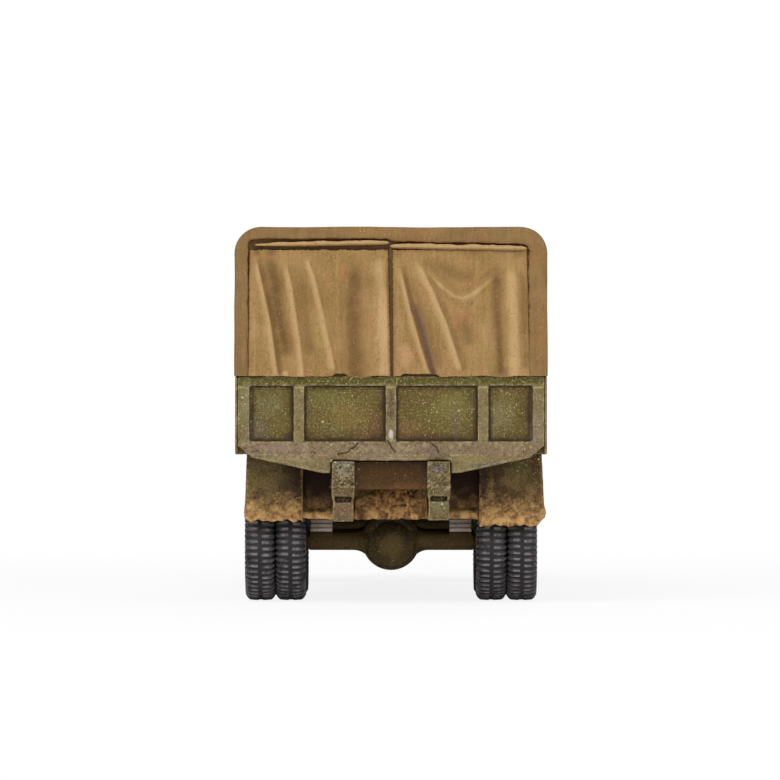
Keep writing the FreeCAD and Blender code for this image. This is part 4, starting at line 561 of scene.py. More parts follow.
def copyOf(node):  # a CAD node's mesh, its loose triangles joined
    piece = bpy.data.objects.new(node + "Copy", frame["nodes"][node].data.copy())
    bpy.context.scene.collection.objects.link(piece)
    edit(piece)
    bpy.ops.mesh.remove_doubles(threshold=0.001 * mm)
    leave()
    return piece


def partOf(node, keeps):  # a copy of a node, without the points that keeps refuses
    piece = copyOf(node)
    edit(piece, "VERT")
    bpy.ops.mesh.select_all(action="DESELECT")
    leave()
    for vertex in piece.data.vertices:
        vertex.select = not keeps(vertex.co / mm)
    bpy.ops.object.mode_set(mode="EDIT")
    bpy.ops.mesh.delete(type="VERT")
    leave()
    return piece


def joined(pieces):
    pick(*pieces)
    if len(pieces) > 1:
        bpy.ops.object.join()
    return bpy.context.view_layer.objects.active


def primitive(kind, place, **settings):  # a primitive at a place in millimetres, its place in its mesh
    bpy.ops.object.select_all(action="DESELECT")
    getattr(bpy.ops.mesh, f"primitive_{kind}_add")(location=[value * mm for value in place], **settings)
    piece = bpy.context.view_layer.objects.active
    settle(piece)
    return piece


def moved(piece, move):  # each point goes where move sends it, in millimetres
    for vertex in piece.data.vertices:
        vertex.co = Vector(move(vertex.co / mm)) * mm
    piece.data.update()


def copied(piece, matrix):
    other = piece.copy()
    other.data = piece.data.copy()
    bpy.context.scene.collection.objects.link(other)
    other.data.transform(matrix)
    if matrix.determinant() < 0:
        other.data.flip_normals()
    return other


def outward(piece):
    edit(piece)
    bpy.ops.mesh.normals_make_consistent(inside=False)
    leave()


def recast(piece, grain, rough, relax=2):  # remeshed in fine faces, its edges softened, its faces left uneven
    applied(piece, "REMESH", mode="VOXEL", voxel_size=grain * mm)
    edit(piece, "VERT")
    bpy.ops.mesh.vertices_smooth(factor=0.5, repeat=relax)
    leave()
    normals = [vertex.normal.copy() for vertex in piece.data.vertices]
    for vertex, normal in zip(piece.data.vertices, normals):
        spot = vertex.co / mm
        uneven = noise.noise(spot * 1.1) * 1.2 + noise.noise(spot * 2.9) * 0.9
        pit = max(noise.noise(spot * 2.3 + Vector((9, 4, 2))) - 0.4, 0.0) * 3.0
        vertex.co += normal * (uneven - pit) * rough * mm
    piece.data.update()


def divided(piece, axis, cuts):  # the edges along one axis are cut up
    edit(piece, "EDGE")
    bpy.ops.mesh.select_all(action="DESELECT")
    leave()
    for line in piece.data.edges:
        first, second = (piece.data.vertices[i].co for i in line.vertices)
        line.select = abs(first[axis] - second[axis]) > 1.5 * mm  # a primitive here is 2 mm long
    bpy.ops.object.mode_set(mode="EDIT")
    bpy.ops.mesh.subdivide(number_cuts=cuts)
    leave()


def attributes(piece, **kept):  # numbers kept on each point, or one for all of them
    for name, values in kept.items():
        made = piece.data.attributes.new(name, "FLOAT", "POINT")
        made.data.foreach_set("value", values if isinstance(values, list) else [values] * len(piece.data.vertices))


def bent(piece):  # keeps in "bend" how much each point stands out (towards 1) or lies in a hollow (towards 0)
    places = [vertex.co.copy() for vertex in piece.data.vertices]
    normals = [vertex.normal.copy() for vertex in piece.data.vertices]
    near = [[] for _ in places]
    for line in piece.data.edges:
        first, second = line.vertices
        near[first].append(second)
        near[second].append(first)
    values = []
    for place, normal, others in zip(places, normals, near):
        reach = sum((places[i] - place).length for i in others)
        middle = sum((places[i] for i in others), Vector()) / len(others)
        values.append((place - middle).dot(normal) * len(others) / reach)
    values = [(value + sum(values[i] for i in others) / len(others)) / 2 for value, others in zip(values, near)]
    attributes(piece, bend=[0.5 + 6.0 * value for value in values])


def lineOffset(spot, path):  # distance to the right of a line that runs down, how far past its ends, how far along
    best = None
    before = 0.0
    for start, end in zip(path, path[1:]):
        run = end - start
        length = run.length
        along = (spot - start).dot(run) / length
        aside = (run.y * (spot.x - start.x) - run.x * (spot.y - start.y)) / length
        past = max(-along, along - length, 0.0)
        away = math.hypot(aside, past)
        if best is None or away < best[0]:
            best = (away, aside, past, before + min(max(along, 0.0), length))
        before += length
    return best[1:]


# Tilt: moulded canvas over five hoops, with a recess for the flaps at the rear.

tilt = {
    "across": 250,        # points round the hoop
    "sections": 110,      # rings from the recess to the front
    "corner": 2.8,        # corner radius
    "hoops": 5,
    "sag": 0.3,           # how far the canvas hangs in between hoops
    "rim": 0.3,           # rounding of the rear rim
    "waver": 0.1,         # uneven casting
    "crumble": 0.09,      # ragged edge of the recess
    "hem": 0.9,           # height of the hem along the side boards
    "hemOut": 0.13,
    "recess": 1.42,       # border of the recess at the left
    "recessRight": 1.95,  # and at the right
    "recessDeep": 0.42,
    "nose": 0.6,          # rounding of the front
}


def hoopPoint(insets, share, low, high):  # from the left foot over the top to the right foot, drawn in by insets
    insetLeft, insetRight = insets
    left, right, top = low.x + insetLeft, high.x - insetRight, max(high.z - insetLeft, low.z + 0.01)
    radius = min(max(tilt["corner"] - insetLeft * 1.6, 0.5), (right - left) / 2, top - low.z)
    upright, flat, bend = top - radius - low.z, right - left - 2 * radius, radius * math.pi / 2
    away = share * (2 * upright + flat + 2 * bend)
    if away <= upright:
        return left, low.z + away
    away -= upright
    if away <= bend:
        angle = away / radius
        return left + radius * (1 - math.cos(angle)), top - radius + radius * math.sin(angle)
    away -= bend
    if away <= flat:
        return left + radius + away, top
    away -= flat
    if away <= bend:
        angle = away / radius
        return right - radius + radius * math.sin(angle), top - radius + radius * math.cos(angle)
    away -= bend
    return right, max(top - radius - away, low.z)


def buildTilt():
    low, high = box("tilt_cover")
    rear = box("tilt_rear_panel")[0].y
    front = high.y
    halfWide = (high.x - low.x) / 2
    rim = tilt["rim"]
    recess, nose = tilt["recess"], tilt["nose"]
    wider = tilt["recessRight"] / recess
    floor = rear + tilt["recessDeep"]
    curve = (0.4, 0.8, 1.2, math.pi / 2)
    rings = [(halfWide - 0.01, floor), (recess + 0.08, floor), (recess, rear + 0.3)]
    rings += [(recess - 0.08, rear + 0.08), (recess - 0.2, rear)]
    rings += [(blend(recess - 0.2, rim, i / 5), rear) for i in range(1, 6)]
    rings += [(rim * (1 - math.sin(a)), rear + rim * (1 - math.cos(a))) for a in curve]
    along = tilt["sections"] - len(rings) - 14
    rings += [(0.0, blend(rear + rim, front - nose, i / along)) for i in range(1, along + 1)]
    rings += [(nose * (1 - math.cos(a)), front - nose + nose * math.sin(a)) for a in curve]
    rings += [(blend(nose, halfWide - 0.01, (i / 10) ** 1.2), front) for i in range(1, 11)]
    piece = primitive("grid", (0, 0, 0), x_subdivisions=tilt["across"], y_subdivisions=len(rings) - 1, size=2 * mm)
    shades, folds, dirts = [], [], []

    def wrap(point):
        share = (point.x + 1) / 2
        inset, y = rings[round((point.y + 1) / 2 * (len(rings) - 1))]
        nearRecess = y < rear + 1 and recess - 0.3 < inset < recess + 0.1
        crumbs = noise.noise(Vector((share * 130, y * 3, 4.0))) + noise.noise(Vector((share * 50, y, 8.0)))
        inset += crumbs * tilt["crumble"] * nearRecess
        wide = inset * wider if y < rear + 1 and inset < 2 else inset
        x, z = hoopPoint((inset, min(wide, halfWide - 0.01)), share, low, high)
        between = abs(math.sin(math.pi * (y - rear) / (front - rear) * (tilt["hoops"] - 1)))
        crown = eased(z, low.z + 0.5, low.z + 4)
        wrinkle = noise.noise(Vector((x * 0.15, y * 0.35 + z * 0.12, z * 0.1))) * 0.12
        sag = (tilt["sag"] * between ** 0.7 + max(wrinkle, -0.05)) * crown if inset < 0.5 else 0.0
        shake = tilt["waver"] * noise.noise(Vector((x, y, z)) * 0.22) * eased(inset, 3.0, 0.0)
        hem = tilt["hemOut"] * (1 - eased(z, low.z + tilt["hem"], low.z + tilt["hem"] + 0.15)) * (inset < 0.05)
        if nearRecess and z > high.z - 2.5:  # the recess reaches higher over the left flap
            z += blend(0.1, -0.16 - 0.02 * max(x, 0.0), eased(x, -0.4, 0.2))
        folds.append(0.5 + 0.3 * (1 - min(between * 3, 1.0)) ** 2 * (inset < 0.05) + 0.9 * wrinkle + 0.3 * shake)
        dirts.append(0.5 * max(-noise.noise(Vector((x * 0.3, y * 0.2, z * 0.5))), 0.0))
        # painted shade on the floor of the recess
        shades.append(1.0 if y < rear + 1 and y > rear + 0.2 and inset > recess - 0.1 else 0.0)
        inner = eased(y, rear + 1.0, rear + 2.5) * (inset < 0.05)
        hem *= inner
        spot = Vector((x, y, z))
        if abs(x) > halfWide - 1:  # the side walls hang in, the roof hangs down
            inward = Vector((-math.copysign(1, x), 0, 0))
        elif z > high.z - 1:
            inward = Vector((0, 0, -1))
        else:
            inward = (Vector((0, y, low.z + 5)) - spot).normalized()
        spot += inward * (sag + abs(shake) * 0.6 + tilt["hemOut"] * inner - hem)
        if inset > 0.5:
            spot.y += shake * 0.6
        return spot

    moved(piece, wrap)
    attributes(piece, shade=shades, fold=folds, dirt=dirts, stain=0.0)
    edit(piece)
    bpy.ops.mesh.remove_doubles(threshold=0.004 * mm)
    bpy.ops.mesh.normals_make_consistent(inside=False)
    leave()
    applied(piece, "SOLIDIFY", thickness=0.35 * mm, offset=-1)
    smooth(piece, 60)
    return finish(piece, "tiltCanvas", "tilt", "chassis", ["tilt_cover", "tilt_rear_panel"])


buildTilt()
print("tilt done")

# Rear flaps. A fold runs through points given across and down the flap, from 0 to 1. Then come its width to the
# left and to the right of its crest, its height, the depth of the sharp hollow beside it, and the dirt in there.

flaps = {
    "columns": 142,
    "rows": 124,
    "thick": 0.2,
    "left": {  # edges in millimetres: at the top and at the bottom
        "outer": (-14.02, -14.25), "inner": (-0.3, -0.05), "top": 35.06, "low": 22.6,
        "folds": [
            ([(0.04, 0.45), (0.06, 1.0)], 0.4, 0.3, 0.14, 0.0, 0.0),
            ([(0.054, 0.06), (0.158, 0.56), (0.213, 0.97)], 0.5, 0.13, 0.32, 0.2, 0.5),
            ([(0.141, 0.03), (0.197, 0.28), (0.214, 0.48), (0.274, 0.8)], 0.55, 0.5, -0.2, 0.0, 0.95),
            ([(0.267, 0.1), (0.306, 0.32), (0.366, 0.76), (0.387, 0.98)], 0.5, 0.26, 0.28, 0.12, 0.2),
            ([(0.36, 0.1), (0.42, 0.55), (0.45, 0.8)], 0.4, 0.4, -0.1, 0.0, 0.4),
            ([(0.4, 0.04), (0.458, 0.2), (0.522, 0.48), (0.6, 0.92)], 0.5, 0.25, 0.26, 0.08, 0.1),
            ([(0.63, 0.25), (0.64, 0.5)], 0.25, 0.2, 0.1, 0.0, 0.0),
            ([(0.77, 0.1), (0.745, 0.45), (0.75, 0.76), (0.76, 0.98)], 0.6, 0.8, -0.24, 0.0, 0.8),
            ([(0.94, 0.02), (0.965, 0.4), (0.975, 0.96)], 0.9, 0.4, 0.24, 0.0, 0.0),
        ],
        "smudges": [(0.98, 0.0, 0.16, 1.0), (0.97, 0.05, 0.1, 1.0), (0.17, 0.3, 0.2, 0.9), (0.7, 0.42, 0.2, 0.8),
                    (0.16, 0.02, 0.5, 0.7), (0.57, 0.09, 0.12, 0.8), (0.06, 0.02, 0.3, 0.9)],
        "stains": [],
        "lifts": [(0.265, 0.985, 0.42, 0.3)],   # a corner folded over: place, reach and height
        "gaps": [(0.59, 0.71)],                 # where the lower edge lifts off the tailgate
    },
    "right": {
        "outer": (13.45, 13.86), "inner": (0.16, 0.24), "top": 35.06, "low": 22.6,
        "folds": [
            ([(0.052, 0.112), (0.13, 0.48), (0.2, 0.76), (0.263, 0.976)], 0.5, 0.12, 0.34, 0.22, 0.45),
            ([(0.179, 0.096), (0.287, 0.32), (0.379, 0.56), (0.483, 0.92)], 0.6, 0.2, 0.32, 0.12, 0.3),
            ([(0.179, 0.09), (0.326, 0.256), (0.444, 0.36), (0.517, 0.384), (0.607, 0.336), (0.734, 0.224)],
             0.38, 0.26, 0.2, 0.1, 0.2),
            ([(0.27, 0.08), (0.45, 0.2), (0.56, 0.22)], 0.5, 0.5, -0.12, 0.0, 0.5),
            ([(0.12, 0.22), (0.24, 0.55), (0.33, 0.9)], 0.3, 0.4, -0.14, 0.0, 0.3),
            ([(0.5, 0.5), (0.56, 0.72)], 0.7, 0.6, -0.16, 0.0, 0.45),
            ([(0.66, 0.5), (0.67, 1.0)], 0.4, 0.35, 0.12, 0.0, 0.0),
            ([(0.78, 0.12), (0.76, 0.4), (0.77, 0.65), (0.78, 0.95)], 0.45, 0.4, -0.2, 0.0, 0.85),
            ([(0.88, 0.1), (0.89, 0.6), (0.88, 1.0)], 0.7, 0.55, 0.26, 0.0, 0.0),
            ([(0.965, 0.15), (0.97, 0.9)], 0.3, 0.3, -0.12, 0.0, 0.5),
        ],
        "smudges": [(0.352, 0.44, 0.11, 1.0), (0.58, 0.424, 0.12, 1.0), (0.765, 0.8, 0.3, 0.9), (0.03, 0.03, 0.4, 0.7),
                    (0.6, 0.03, 0.6, 0.5), (0.93, 0.02, 0.5, 0.7)],
        "stains": [([(0.17, 0.48), (0.25, 0.76), (0.29, 0.99)], 0.34, 0.95)],
        "lifts": [],
        "gaps": [(0.045, 0.34)],
    },
}


def scaled(path, wide, tall):
    return [Vector((across * wide, down * tall)) for across, down in path]


def foldAt(spot, fold):  # height and dirt that one fold gives a spot on the flap
    path, left, right, high, deep, dirt = fold
    aside, past, along = lineOffset(spot, path)
    fade = math.exp(-(past / 0.55) ** 2) * eased(along, -0.6, 1.8)
    height = high * math.exp(-(aside / (left if aside < 0 else right)) ** 2) * fade
    hollow = right * 2.1 if high > 0 else 0.0
    gather = math.exp(-((aside - hollow) / max(right * 1.3, 0.26)) ** 2) * fade
    return height - deep * gather, dirt * gather


def buildFlap(side):
    look = flaps[side]
    back = box("rear_flap_" + side)[1].y
    outer, inner = look["outer"], look["inner"]
    tall = look["top"] - look["low"]
    left, right = (outer, inner) if side == "left" else (inner, outer)
    wide = right[0] - left[0]
    folds = [(scaled(path, wide, tall), *shape) for path, *shape in look["folds"]]
    stains = [(scaled(path, wide, tall), reach, amount) for path, reach, amount in look["stains"]]
    piece = primitive("grid", (0, 0, 0), x_subdivisions=flaps["columns"], y_subdivisions=flaps["rows"], size=2 * mm)
    levels, dirts, washes = [], [], []
    other = 3.0 if side == "left" else 7.0

    def drape(point):
        u, v = (point.x + 1) / 2, (1 - point.y) / 2
        spot = Vector((u * wide, v * tall))
        found = [foldAt(spot, fold) for fold in folds]
        height = sum(high for high, _ in found) * eased(v, -0.02, 0.1)
        dirt = min(sum(amount for _, amount in found), 1.0)
        for across, down, reach, amount in look["smudges"]:
            away = (spot - Vector((across * wide, down * tall))).length
            dirt = max(dirt, amount * math.exp(-(away / reach) ** 2))
        for across, down, reach, amount in look["lifts"]:
            away = (spot - Vector((across * wide, down * tall))).length
            height += amount * math.exp(-(away / reach) ** 4)
        stain = 0.0
        for path, reach, amount in stains:
            aside, past, _ = lineOffset(spot, path)
            stain = max(stain, amount * math.exp(-(aside / reach) ** 2 - (past / 0.6) ** 2))
        ragged = noise.noise(Vector((u * 9, v * 4, other)))
        grainy = noise.noise(Vector((u * 40, v * 36, 1.0))) + noise.noise(Vector((u * 90, v * 80, 2.0))) * 0.6
        edge = min(u, 1 - u) * wide
        turn = eased(edge, 0.0, 0.2)
        lower = eased(v, 0.93, 1.0)
        gap = sum(eased(u, start, start + 0.03) * eased(u, end, end - 0.03) for start, end in look["gaps"])
        crumbs = noise.noise(Vector((u * 60, v * 50, 5.0))) * 0.05
        x = blend(blend(left[0], left[1], v), blend(right[0], right[1], v), u) + crumbs * (1 - turn) * 1.6
        z = look["top"] - v * tall + (noise.noise(Vector((u * 7, 0.0, 5.0))) * 0.14 + crumbs + gap * 0.22) * lower
        z += (crumbs * 2.4 + 0.07 * noise.noise(Vector((u * 14, 3.0, other)))) * eased(v, 0.03, 0.0)
        proud = 0.27 + height * 0.85 + ragged * 0.07 + grainy * (0.014 + dirt * 0.03) + lower * 0.06
        levels.append(0.5 + height * 1.5 + ragged * 0.1)
        dirts.append(dirt)
        washes.append(stain)
        return x, back - 0.02 - max(proud, 0.08) * (0.3 + 0.7 * turn), z

    moved(piece, drape)
    attributes(piece, fold=levels, dirt=dirts, stain=washes)
    outward(piece)
    if piece.data.polygons[0].normal.y > 0:
        piece.data.flip_normals()
    applied(piece, "SOLIDIFY", thickness=flaps["thick"] * mm, offset=-1)
    smooth(piece, 70)
    return finish(piece, f"flap{side.title()}", "flaps", "chassis", [f"rear_flap_{side}"])


rolls = {
    "left": {"from": (-13.45, 35.58), "to": (-0.22, 35.8), "girths": (0.12, 0.25)},
    "right": {"from": (-0.08, 35.46), "to": (13.42, 35.2), "girths": (0.26, 0.3)},
}


def buildRoll(side):  # the rolled-up head of a flap, uneven, with a crease along it
    look = rolls[side]
    (startX, startZ), (endX, endZ) = look["from"], look["to"]
    back = box("rear_flap_" + side)[1].y
    other = 2.0 if side == "left" else 6.0
    piece = primitive("cylinder", (0, 0, 0), vertices=24, radius=1 * mm, depth=2 * mm, end_fill_type="TRIFAN")
    divided(piece, 2, 150)

    def lay(point):
        share = (point.z + 1) / 2
        waver = noise.noise(Vector((share * 9, other, 0)))
        ends = math.sqrt(max(1 - (2 * share - 1) ** 16, 0.04))
        girth = blend(look["girths"][0], look["girths"][1], eased(share, 0.0, 0.3)) * (1 + 0.22 * waver) * ends
        lump = 1 + 0.16 * noise.noise(Vector((point.x, point.y, share * 34)))
        crease = 1 - 0.3 * math.exp(-((point.x + 0.35) / 0.2) ** 2) * (point.y < 0)
        x = startX + share * (endX - startX)
        y = back - 0.3 + point.y * girth * lump * crease
        z = blend(startZ, endZ, share) + waver * 0.06 + point.x * girth * lump
        return x, y, z

    moved(piece, lay)
    outward(piece)
    smooth(piece, 70)
    # painted shade along the underside of the roll, and a painted highlight along its top
    under = []
    for vertex in piece.data.vertices:
        share = (vertex.co.x / mm - startX) / (endX - startX)
        under.append(eased(blend(startZ, endZ, share) - vertex.co.z / mm, 0.02, 0.24))
    attributes(piece, fold=[0.86 - 0.5 * share for share in under], dirt=[0.9 * share for share in under], stain=0.0)
    return finish(piece, f"roll{side.title()}", "flaps", "chassis")


for flapSide in ("left", "right"):
    buildFlap(flapSide)
    buildRoll(flapSide)
print("flaps done")

# Tyres: a carcass with two rows of bars, dry-brushed.

tread = {
    "bars": 58,             # round each tyre
    "gap": 0.44,            # groove between its two rows
    "barHigh": 0.34,
    "barShare": 0.44,       # of the pitch
    "steps": 96,
    "crown": 0.12,          # how far the tread falls towards its shoulders
    "shoulder": 0.5,        # how far it falls over the shoulder itself
    "bead": 3.55,
}


def buildCarcass(half, middle):
    outer = box("front_left_tyre")[1].z / 2 - 0.1
    inner = tread["bead"]
    piece = primitive("circle", (0, 0, 0), vertices=40, radius=1 * mm)

    def shape(point):
        angle = math.atan2(point.y, point.x)
        power = 0.5 if point.y > 0 else 0.9
        x = math.copysign(abs(math.cos(angle)) ** power, math.cos(angle)) * (half - 0.03)
        rise = math.copysign(abs(math.sin(angle)) ** power, math.sin(angle))
        radius = blend(inner, outer - 0.3 * (x / half) ** 2, (rise + 1) / 2)
        return x * (0.82 if radius < inner + 0.5 else 1.0) + middle, 0, radius

    moved(piece, shape)
    edit(piece, "EDGE")
    bpy.ops.mesh.spin(steps=tread["steps"], angle=math.tau, center=(0, 0, 0), axis=(1, 0, 0))
    bpy.ops.mesh.select_all(action="SELECT")
    bpy.ops.mesh.remove_doubles(threshold=0.003 * mm)
    bpy.ops.mesh.normals_make_consistent(inside=False)
    leave()
    return piece


def buildBars(half, middle):  # each bar is bent over the crown and down the shoulder
    outer = box("front_left_tyre")[1].z / 2
    pitch = math.tau * outer / tread["bars"]
    rows = []
    for side in (-1, 1):
        inner = tread["gap"] / 2
        wide = half - 0.01 - inner
        bar = primitive("cube", (0, 0, 0), size=2 * mm)
        divided(bar, 0, 5)

        def place(point):
            across = inner + wide * (point.x + 1) / 2
            over = eased(across, half - 0.5, half + 0.08) ** 1.6
            fall = tread["crown"] * (across / half) ** 2 + tread["shoulder"] * over
            swell = 1 - 0.1 * abs(point.x) ** 3
            y = point.y * pitch * tread["barShare"] / 2 * (1.0 - 0.3 * (point.z + 1) / 2) * swell + side * 0.02
            drop = 0.05 * point.y ** 2 * (point.z > 0)
            return middle + side * across, y, outer - fall - drop - tread["barHigh"] * (1 - point.z) / 2 * 1.3

        moved(bar, place)
        edit(bar)
        bpy.ops.mesh.normals_make_consistent(inside=False)
        bpy.ops.mesh.spin(steps=tread["bars"], angle=math.tau, center=(0, 0, 0), axis=(1, 0, 0), dupli=True)
        leave()
        if side > 0:  # the rows are staggered a little
            bar.data.transform(Matrix.Rotation(math.pi / tread["bars"] * 0.5, 4, "X"))
        rows.append(bar)
    return rows


def buildTyre(twin):
    low, high = box("front_left_tyre")
    half = (high.x - low.x) / 2
    middles = (-half, half) if twin else (0.0,)
    pieces = []
    for middle in middles:
        pieces.append(buildCarcass(half, middle))
        pieces += buildBars(half, middle)
    tyre = joined(pieces)
    smooth(tyre, 34)
    return tyre


singleTyre = buildTyre(False)
twinTyre = buildTyre(True)
dice = random.Random(11)
for row in ("front", "middle", "rear"):
    for side in ("left", "right"):
        node = f"{row}_{side}_tyre"
        low, high = box(node)
        turn = Matrix.Rotation(math.pi if side == "left" else 0.0, 4, "Z")
        roll = Matrix.Rotation(dice.uniform(0, math.tau), 4, "X")
        place = Matrix.Translation((low + high) / 2 * mm) @ turn @ roll
        tyre = copied(singleTyre if row == "front" else twinTyre, place)
        finish(tyre, f"{row}{side.title()}Tyre", "tyres", f"{row}_{side}_wheel", [node])
low, high = box("spare_tyre")
spare = copied(singleTyre, Matrix.Translation((low + high) / 2 * mm) @ Matrix.Rotation(math.pi / 2, 4, "Z"))
finish(spare, "spareTyre", "tyres", "chassis", ["spare_tyre"])
bpy.data.objects.remove(singleTyre)
bpy.data.objects.remove(twinTyre)
print("tyres done")

# Tailgate and the sill under it, cast in one and worn.

tailgate = {
    "grain": 0.115,     # size of the remeshed faces
    "rough": 0.026,
    "cracks": [         # points across and up, in millimetres from the middle and from the tailgate's foot
        [(-3.3, 1.1), (-3.55, 0.75), (-4.0, 0.55), (-4.15, 0.3), (-4.6, 0.1), (-5.2, 0.05)],
        [(3.9, 1.15), (4.5, 0.7), (4.7, 0.2)],
        [(-0.3, 1.3), (0.1, 0.6), (0.4, 0.3)],
    ],
    "crackWide": 0.08,
    "panels": [(-13.75, -9.65), (-8.55, -0.55), (0.55, 8.55), (9.65, 13.75)],  # pressed panels, left to right
    "foot": 1.32, "head": 6.76,
    "cut": 0.75,        # corner cut off the foot at each end
    "sillDeep": 0.6,    # how far forward of the tailgate the rearmost bolster still reaches
    "rimWear": 0.9,     # how much the sill's lower rim is worn
}


def rearBolster():
    rear = box("tailgate")[1].y + tailgate["sillDeep"]
    piece = partOf("bed_bolsters", lambda point: point.y <= rear)
    moved(piece, lambda point: (point.x, point.y - 0.06, point.z + 0.08))
    return piece


def buildTailgate():
    low, high = box("tailgate")
    piece = joined([copyOf("tailgate"), rearBolster()])
    recast(piece, tailgate["grain"], tailgate["rough"])
    lines = [[Vector((x, -up)) for x, up in line] for line in tailgate["cracks"]]
    shades = []

    def wear(point):
        spot = Vector((point.x, -(point.z - low.z)))
        mark = 0.0
        rear = point.y < low.y + 0.6
        if rear and point.z < low.z + 1.5:
            width = tailgate["crackWide"] * (0.8 + 0.9 * abs(noise.noise(point * 2.2)))
            for line in lines:
                aside, past, _ = lineOffset(spot, line)
                mark = max(mark, math.exp(-(math.hypot(aside, past) / width) ** 2))
        # the shade map starts with the dark lines of the cracks
        shade = mark * rear
        for left, right in tailgate["panels"]:  # painted shade just inside the rim of each pressed panel, with dark wash pooled at its foot and its right side
            inside = min(point.x - left, right - point.x, point.z - low.z - tailgate["foot"] + 0.02,
                         low.z + tailgate["head"] - point.z)
            if inside > -0.06 and rear:
                waver = 1 + 0.5 * noise.noise(point * 0.9)
                foot = 0.5 * math.exp(-((point.z - low.z - tailgate["foot"]) / (0.7 * waver)) ** 2)
                side = 0.4 * math.exp(-((right - point.x) / (0.8 * waver)) ** 2)
                shade = max(shade, min(0.95 * math.exp(-(inside / (0.3 * waver)) ** 2) + foot + side, 1.0))
        shades.append(shade)
        end = eased(abs(point.x), high.x - tailgate["cut"] - 0.4, high.x)
        foot = 1 - eased(point.z, low.z, low.z + 1.2)
        lift = tailgate["cut"] * end * foot * (point.z > low.z - 0.1)
        chipped = max(noise.noise(Vector((point.x * 0.9, 3.0, 1.0))) - 0.25, 0.0) * 0.3
        top = chipped * eased(point.z, high.z - 0.25, high.z)
        return point.x, point.y + mark * rear * 0.09, point.z + lift - top

    moved(piece, wear)
    attributes(piece, shade=shades)
    bent(piece)
    for vertex, bend in zip(piece.data.vertices, piece.data.attributes["bend"].data):  # the sill's lower rim is worn
        if vertex.co.z / mm < low.z and vertex.normal.z < -0.12:
            bend.value += tailgate["rimWear"]
    smooth(piece, 70)
    return finish(piece, "tailgateCast", "tailgate", "chassis", ["tailgate"])


buildTailgate()
print("tailgate done")

# The other bolsters.


bolsters = {"grain": 0.17, "rough": 0.02}


def buildBolsters():
    rear = box("tailgate")[1].y + tailgate["sillDeep"]
    piece = partOf("bed_bolsters", lambda point: point.y >= rear)
    recast(piece, bolsters["grain"], bolsters["rough"], 1)
    smooth(piece, 60)
    return finish(piece, "bolsterCasts", "underside", "chassis", ["bed_bolsters"])


buildBolsters()

# Bumperettes: worn blocks with a step down to their lower halves and a pocket between.

bumperettes = {
    "grain": 0.085,
    "rough": 0.035,
    "waist": 0.1,       # how much narrower the lower half is
    "bubbles": 0.09,    # pitted upper half of the left one
    "inner": 3.6,       # from the middle of the truck to the near side of each
}


def buildBumperettes():
    piece = copyOf("bumperettes")
    recast(piece, bumperettes["grain"], bumperettes["rough"])
    low, high = box("bumperettes")
    middle = (high.x + abs(low.x)) / 2 - (high.x - bumperettes["inner"]) / 2

    def wear(point):
        side = math.copysign(1, point.x)
        centre = side * middle
        lower = 1 - eased(point.z, low.z + 1.9, low.z + 2.5)
        ridge = math.exp(-((point.z - (low.z + 3.3)) / 0.16) ** 2)
        pitted = noise.noise(point * 1.9) + 0.6 * noise.noise(point * 4.2)
        bubble = bumperettes["bubbles"] * pitted * (point.z > low.z + 3.4) * (2.2 if side < 0 else 1.6)
        x = centre + (point.x - centre) * (1 - bumperettes["waist"] * lower + 0.05 * ridge)
        rear = eased(point.y, low.y + 0.6, low.y)
        return x, point.y - (ridge * 0.1 + bubble) * rear, point.z - 0.12 * lower * (1 - side) / 2

    moved(piece, wear)
    attributes(piece, shade=0.0)
    bent(piece)
    smooth(piece, 60)
    return finish(piece, "bumperetteCasts", "bumperettes", "chassis", ["bumperettes"])


buildBumperettes()

# Apron: mud caked on the flaps and in a mound across the middle.

apron = {
    "grain": 0.13,
    "rough": 0.03,
    "mudTop": 12.4,     # the mud thins out above this
    "thick": 0.34,
    "ledge": 9.5,       # top of the ledge between the flaps and the middle
    "leanLeft": 0.6,    # how far the left edge leans in at its top
    "leanRight": 0.3,   # how far the right edge leans out at its foot
}


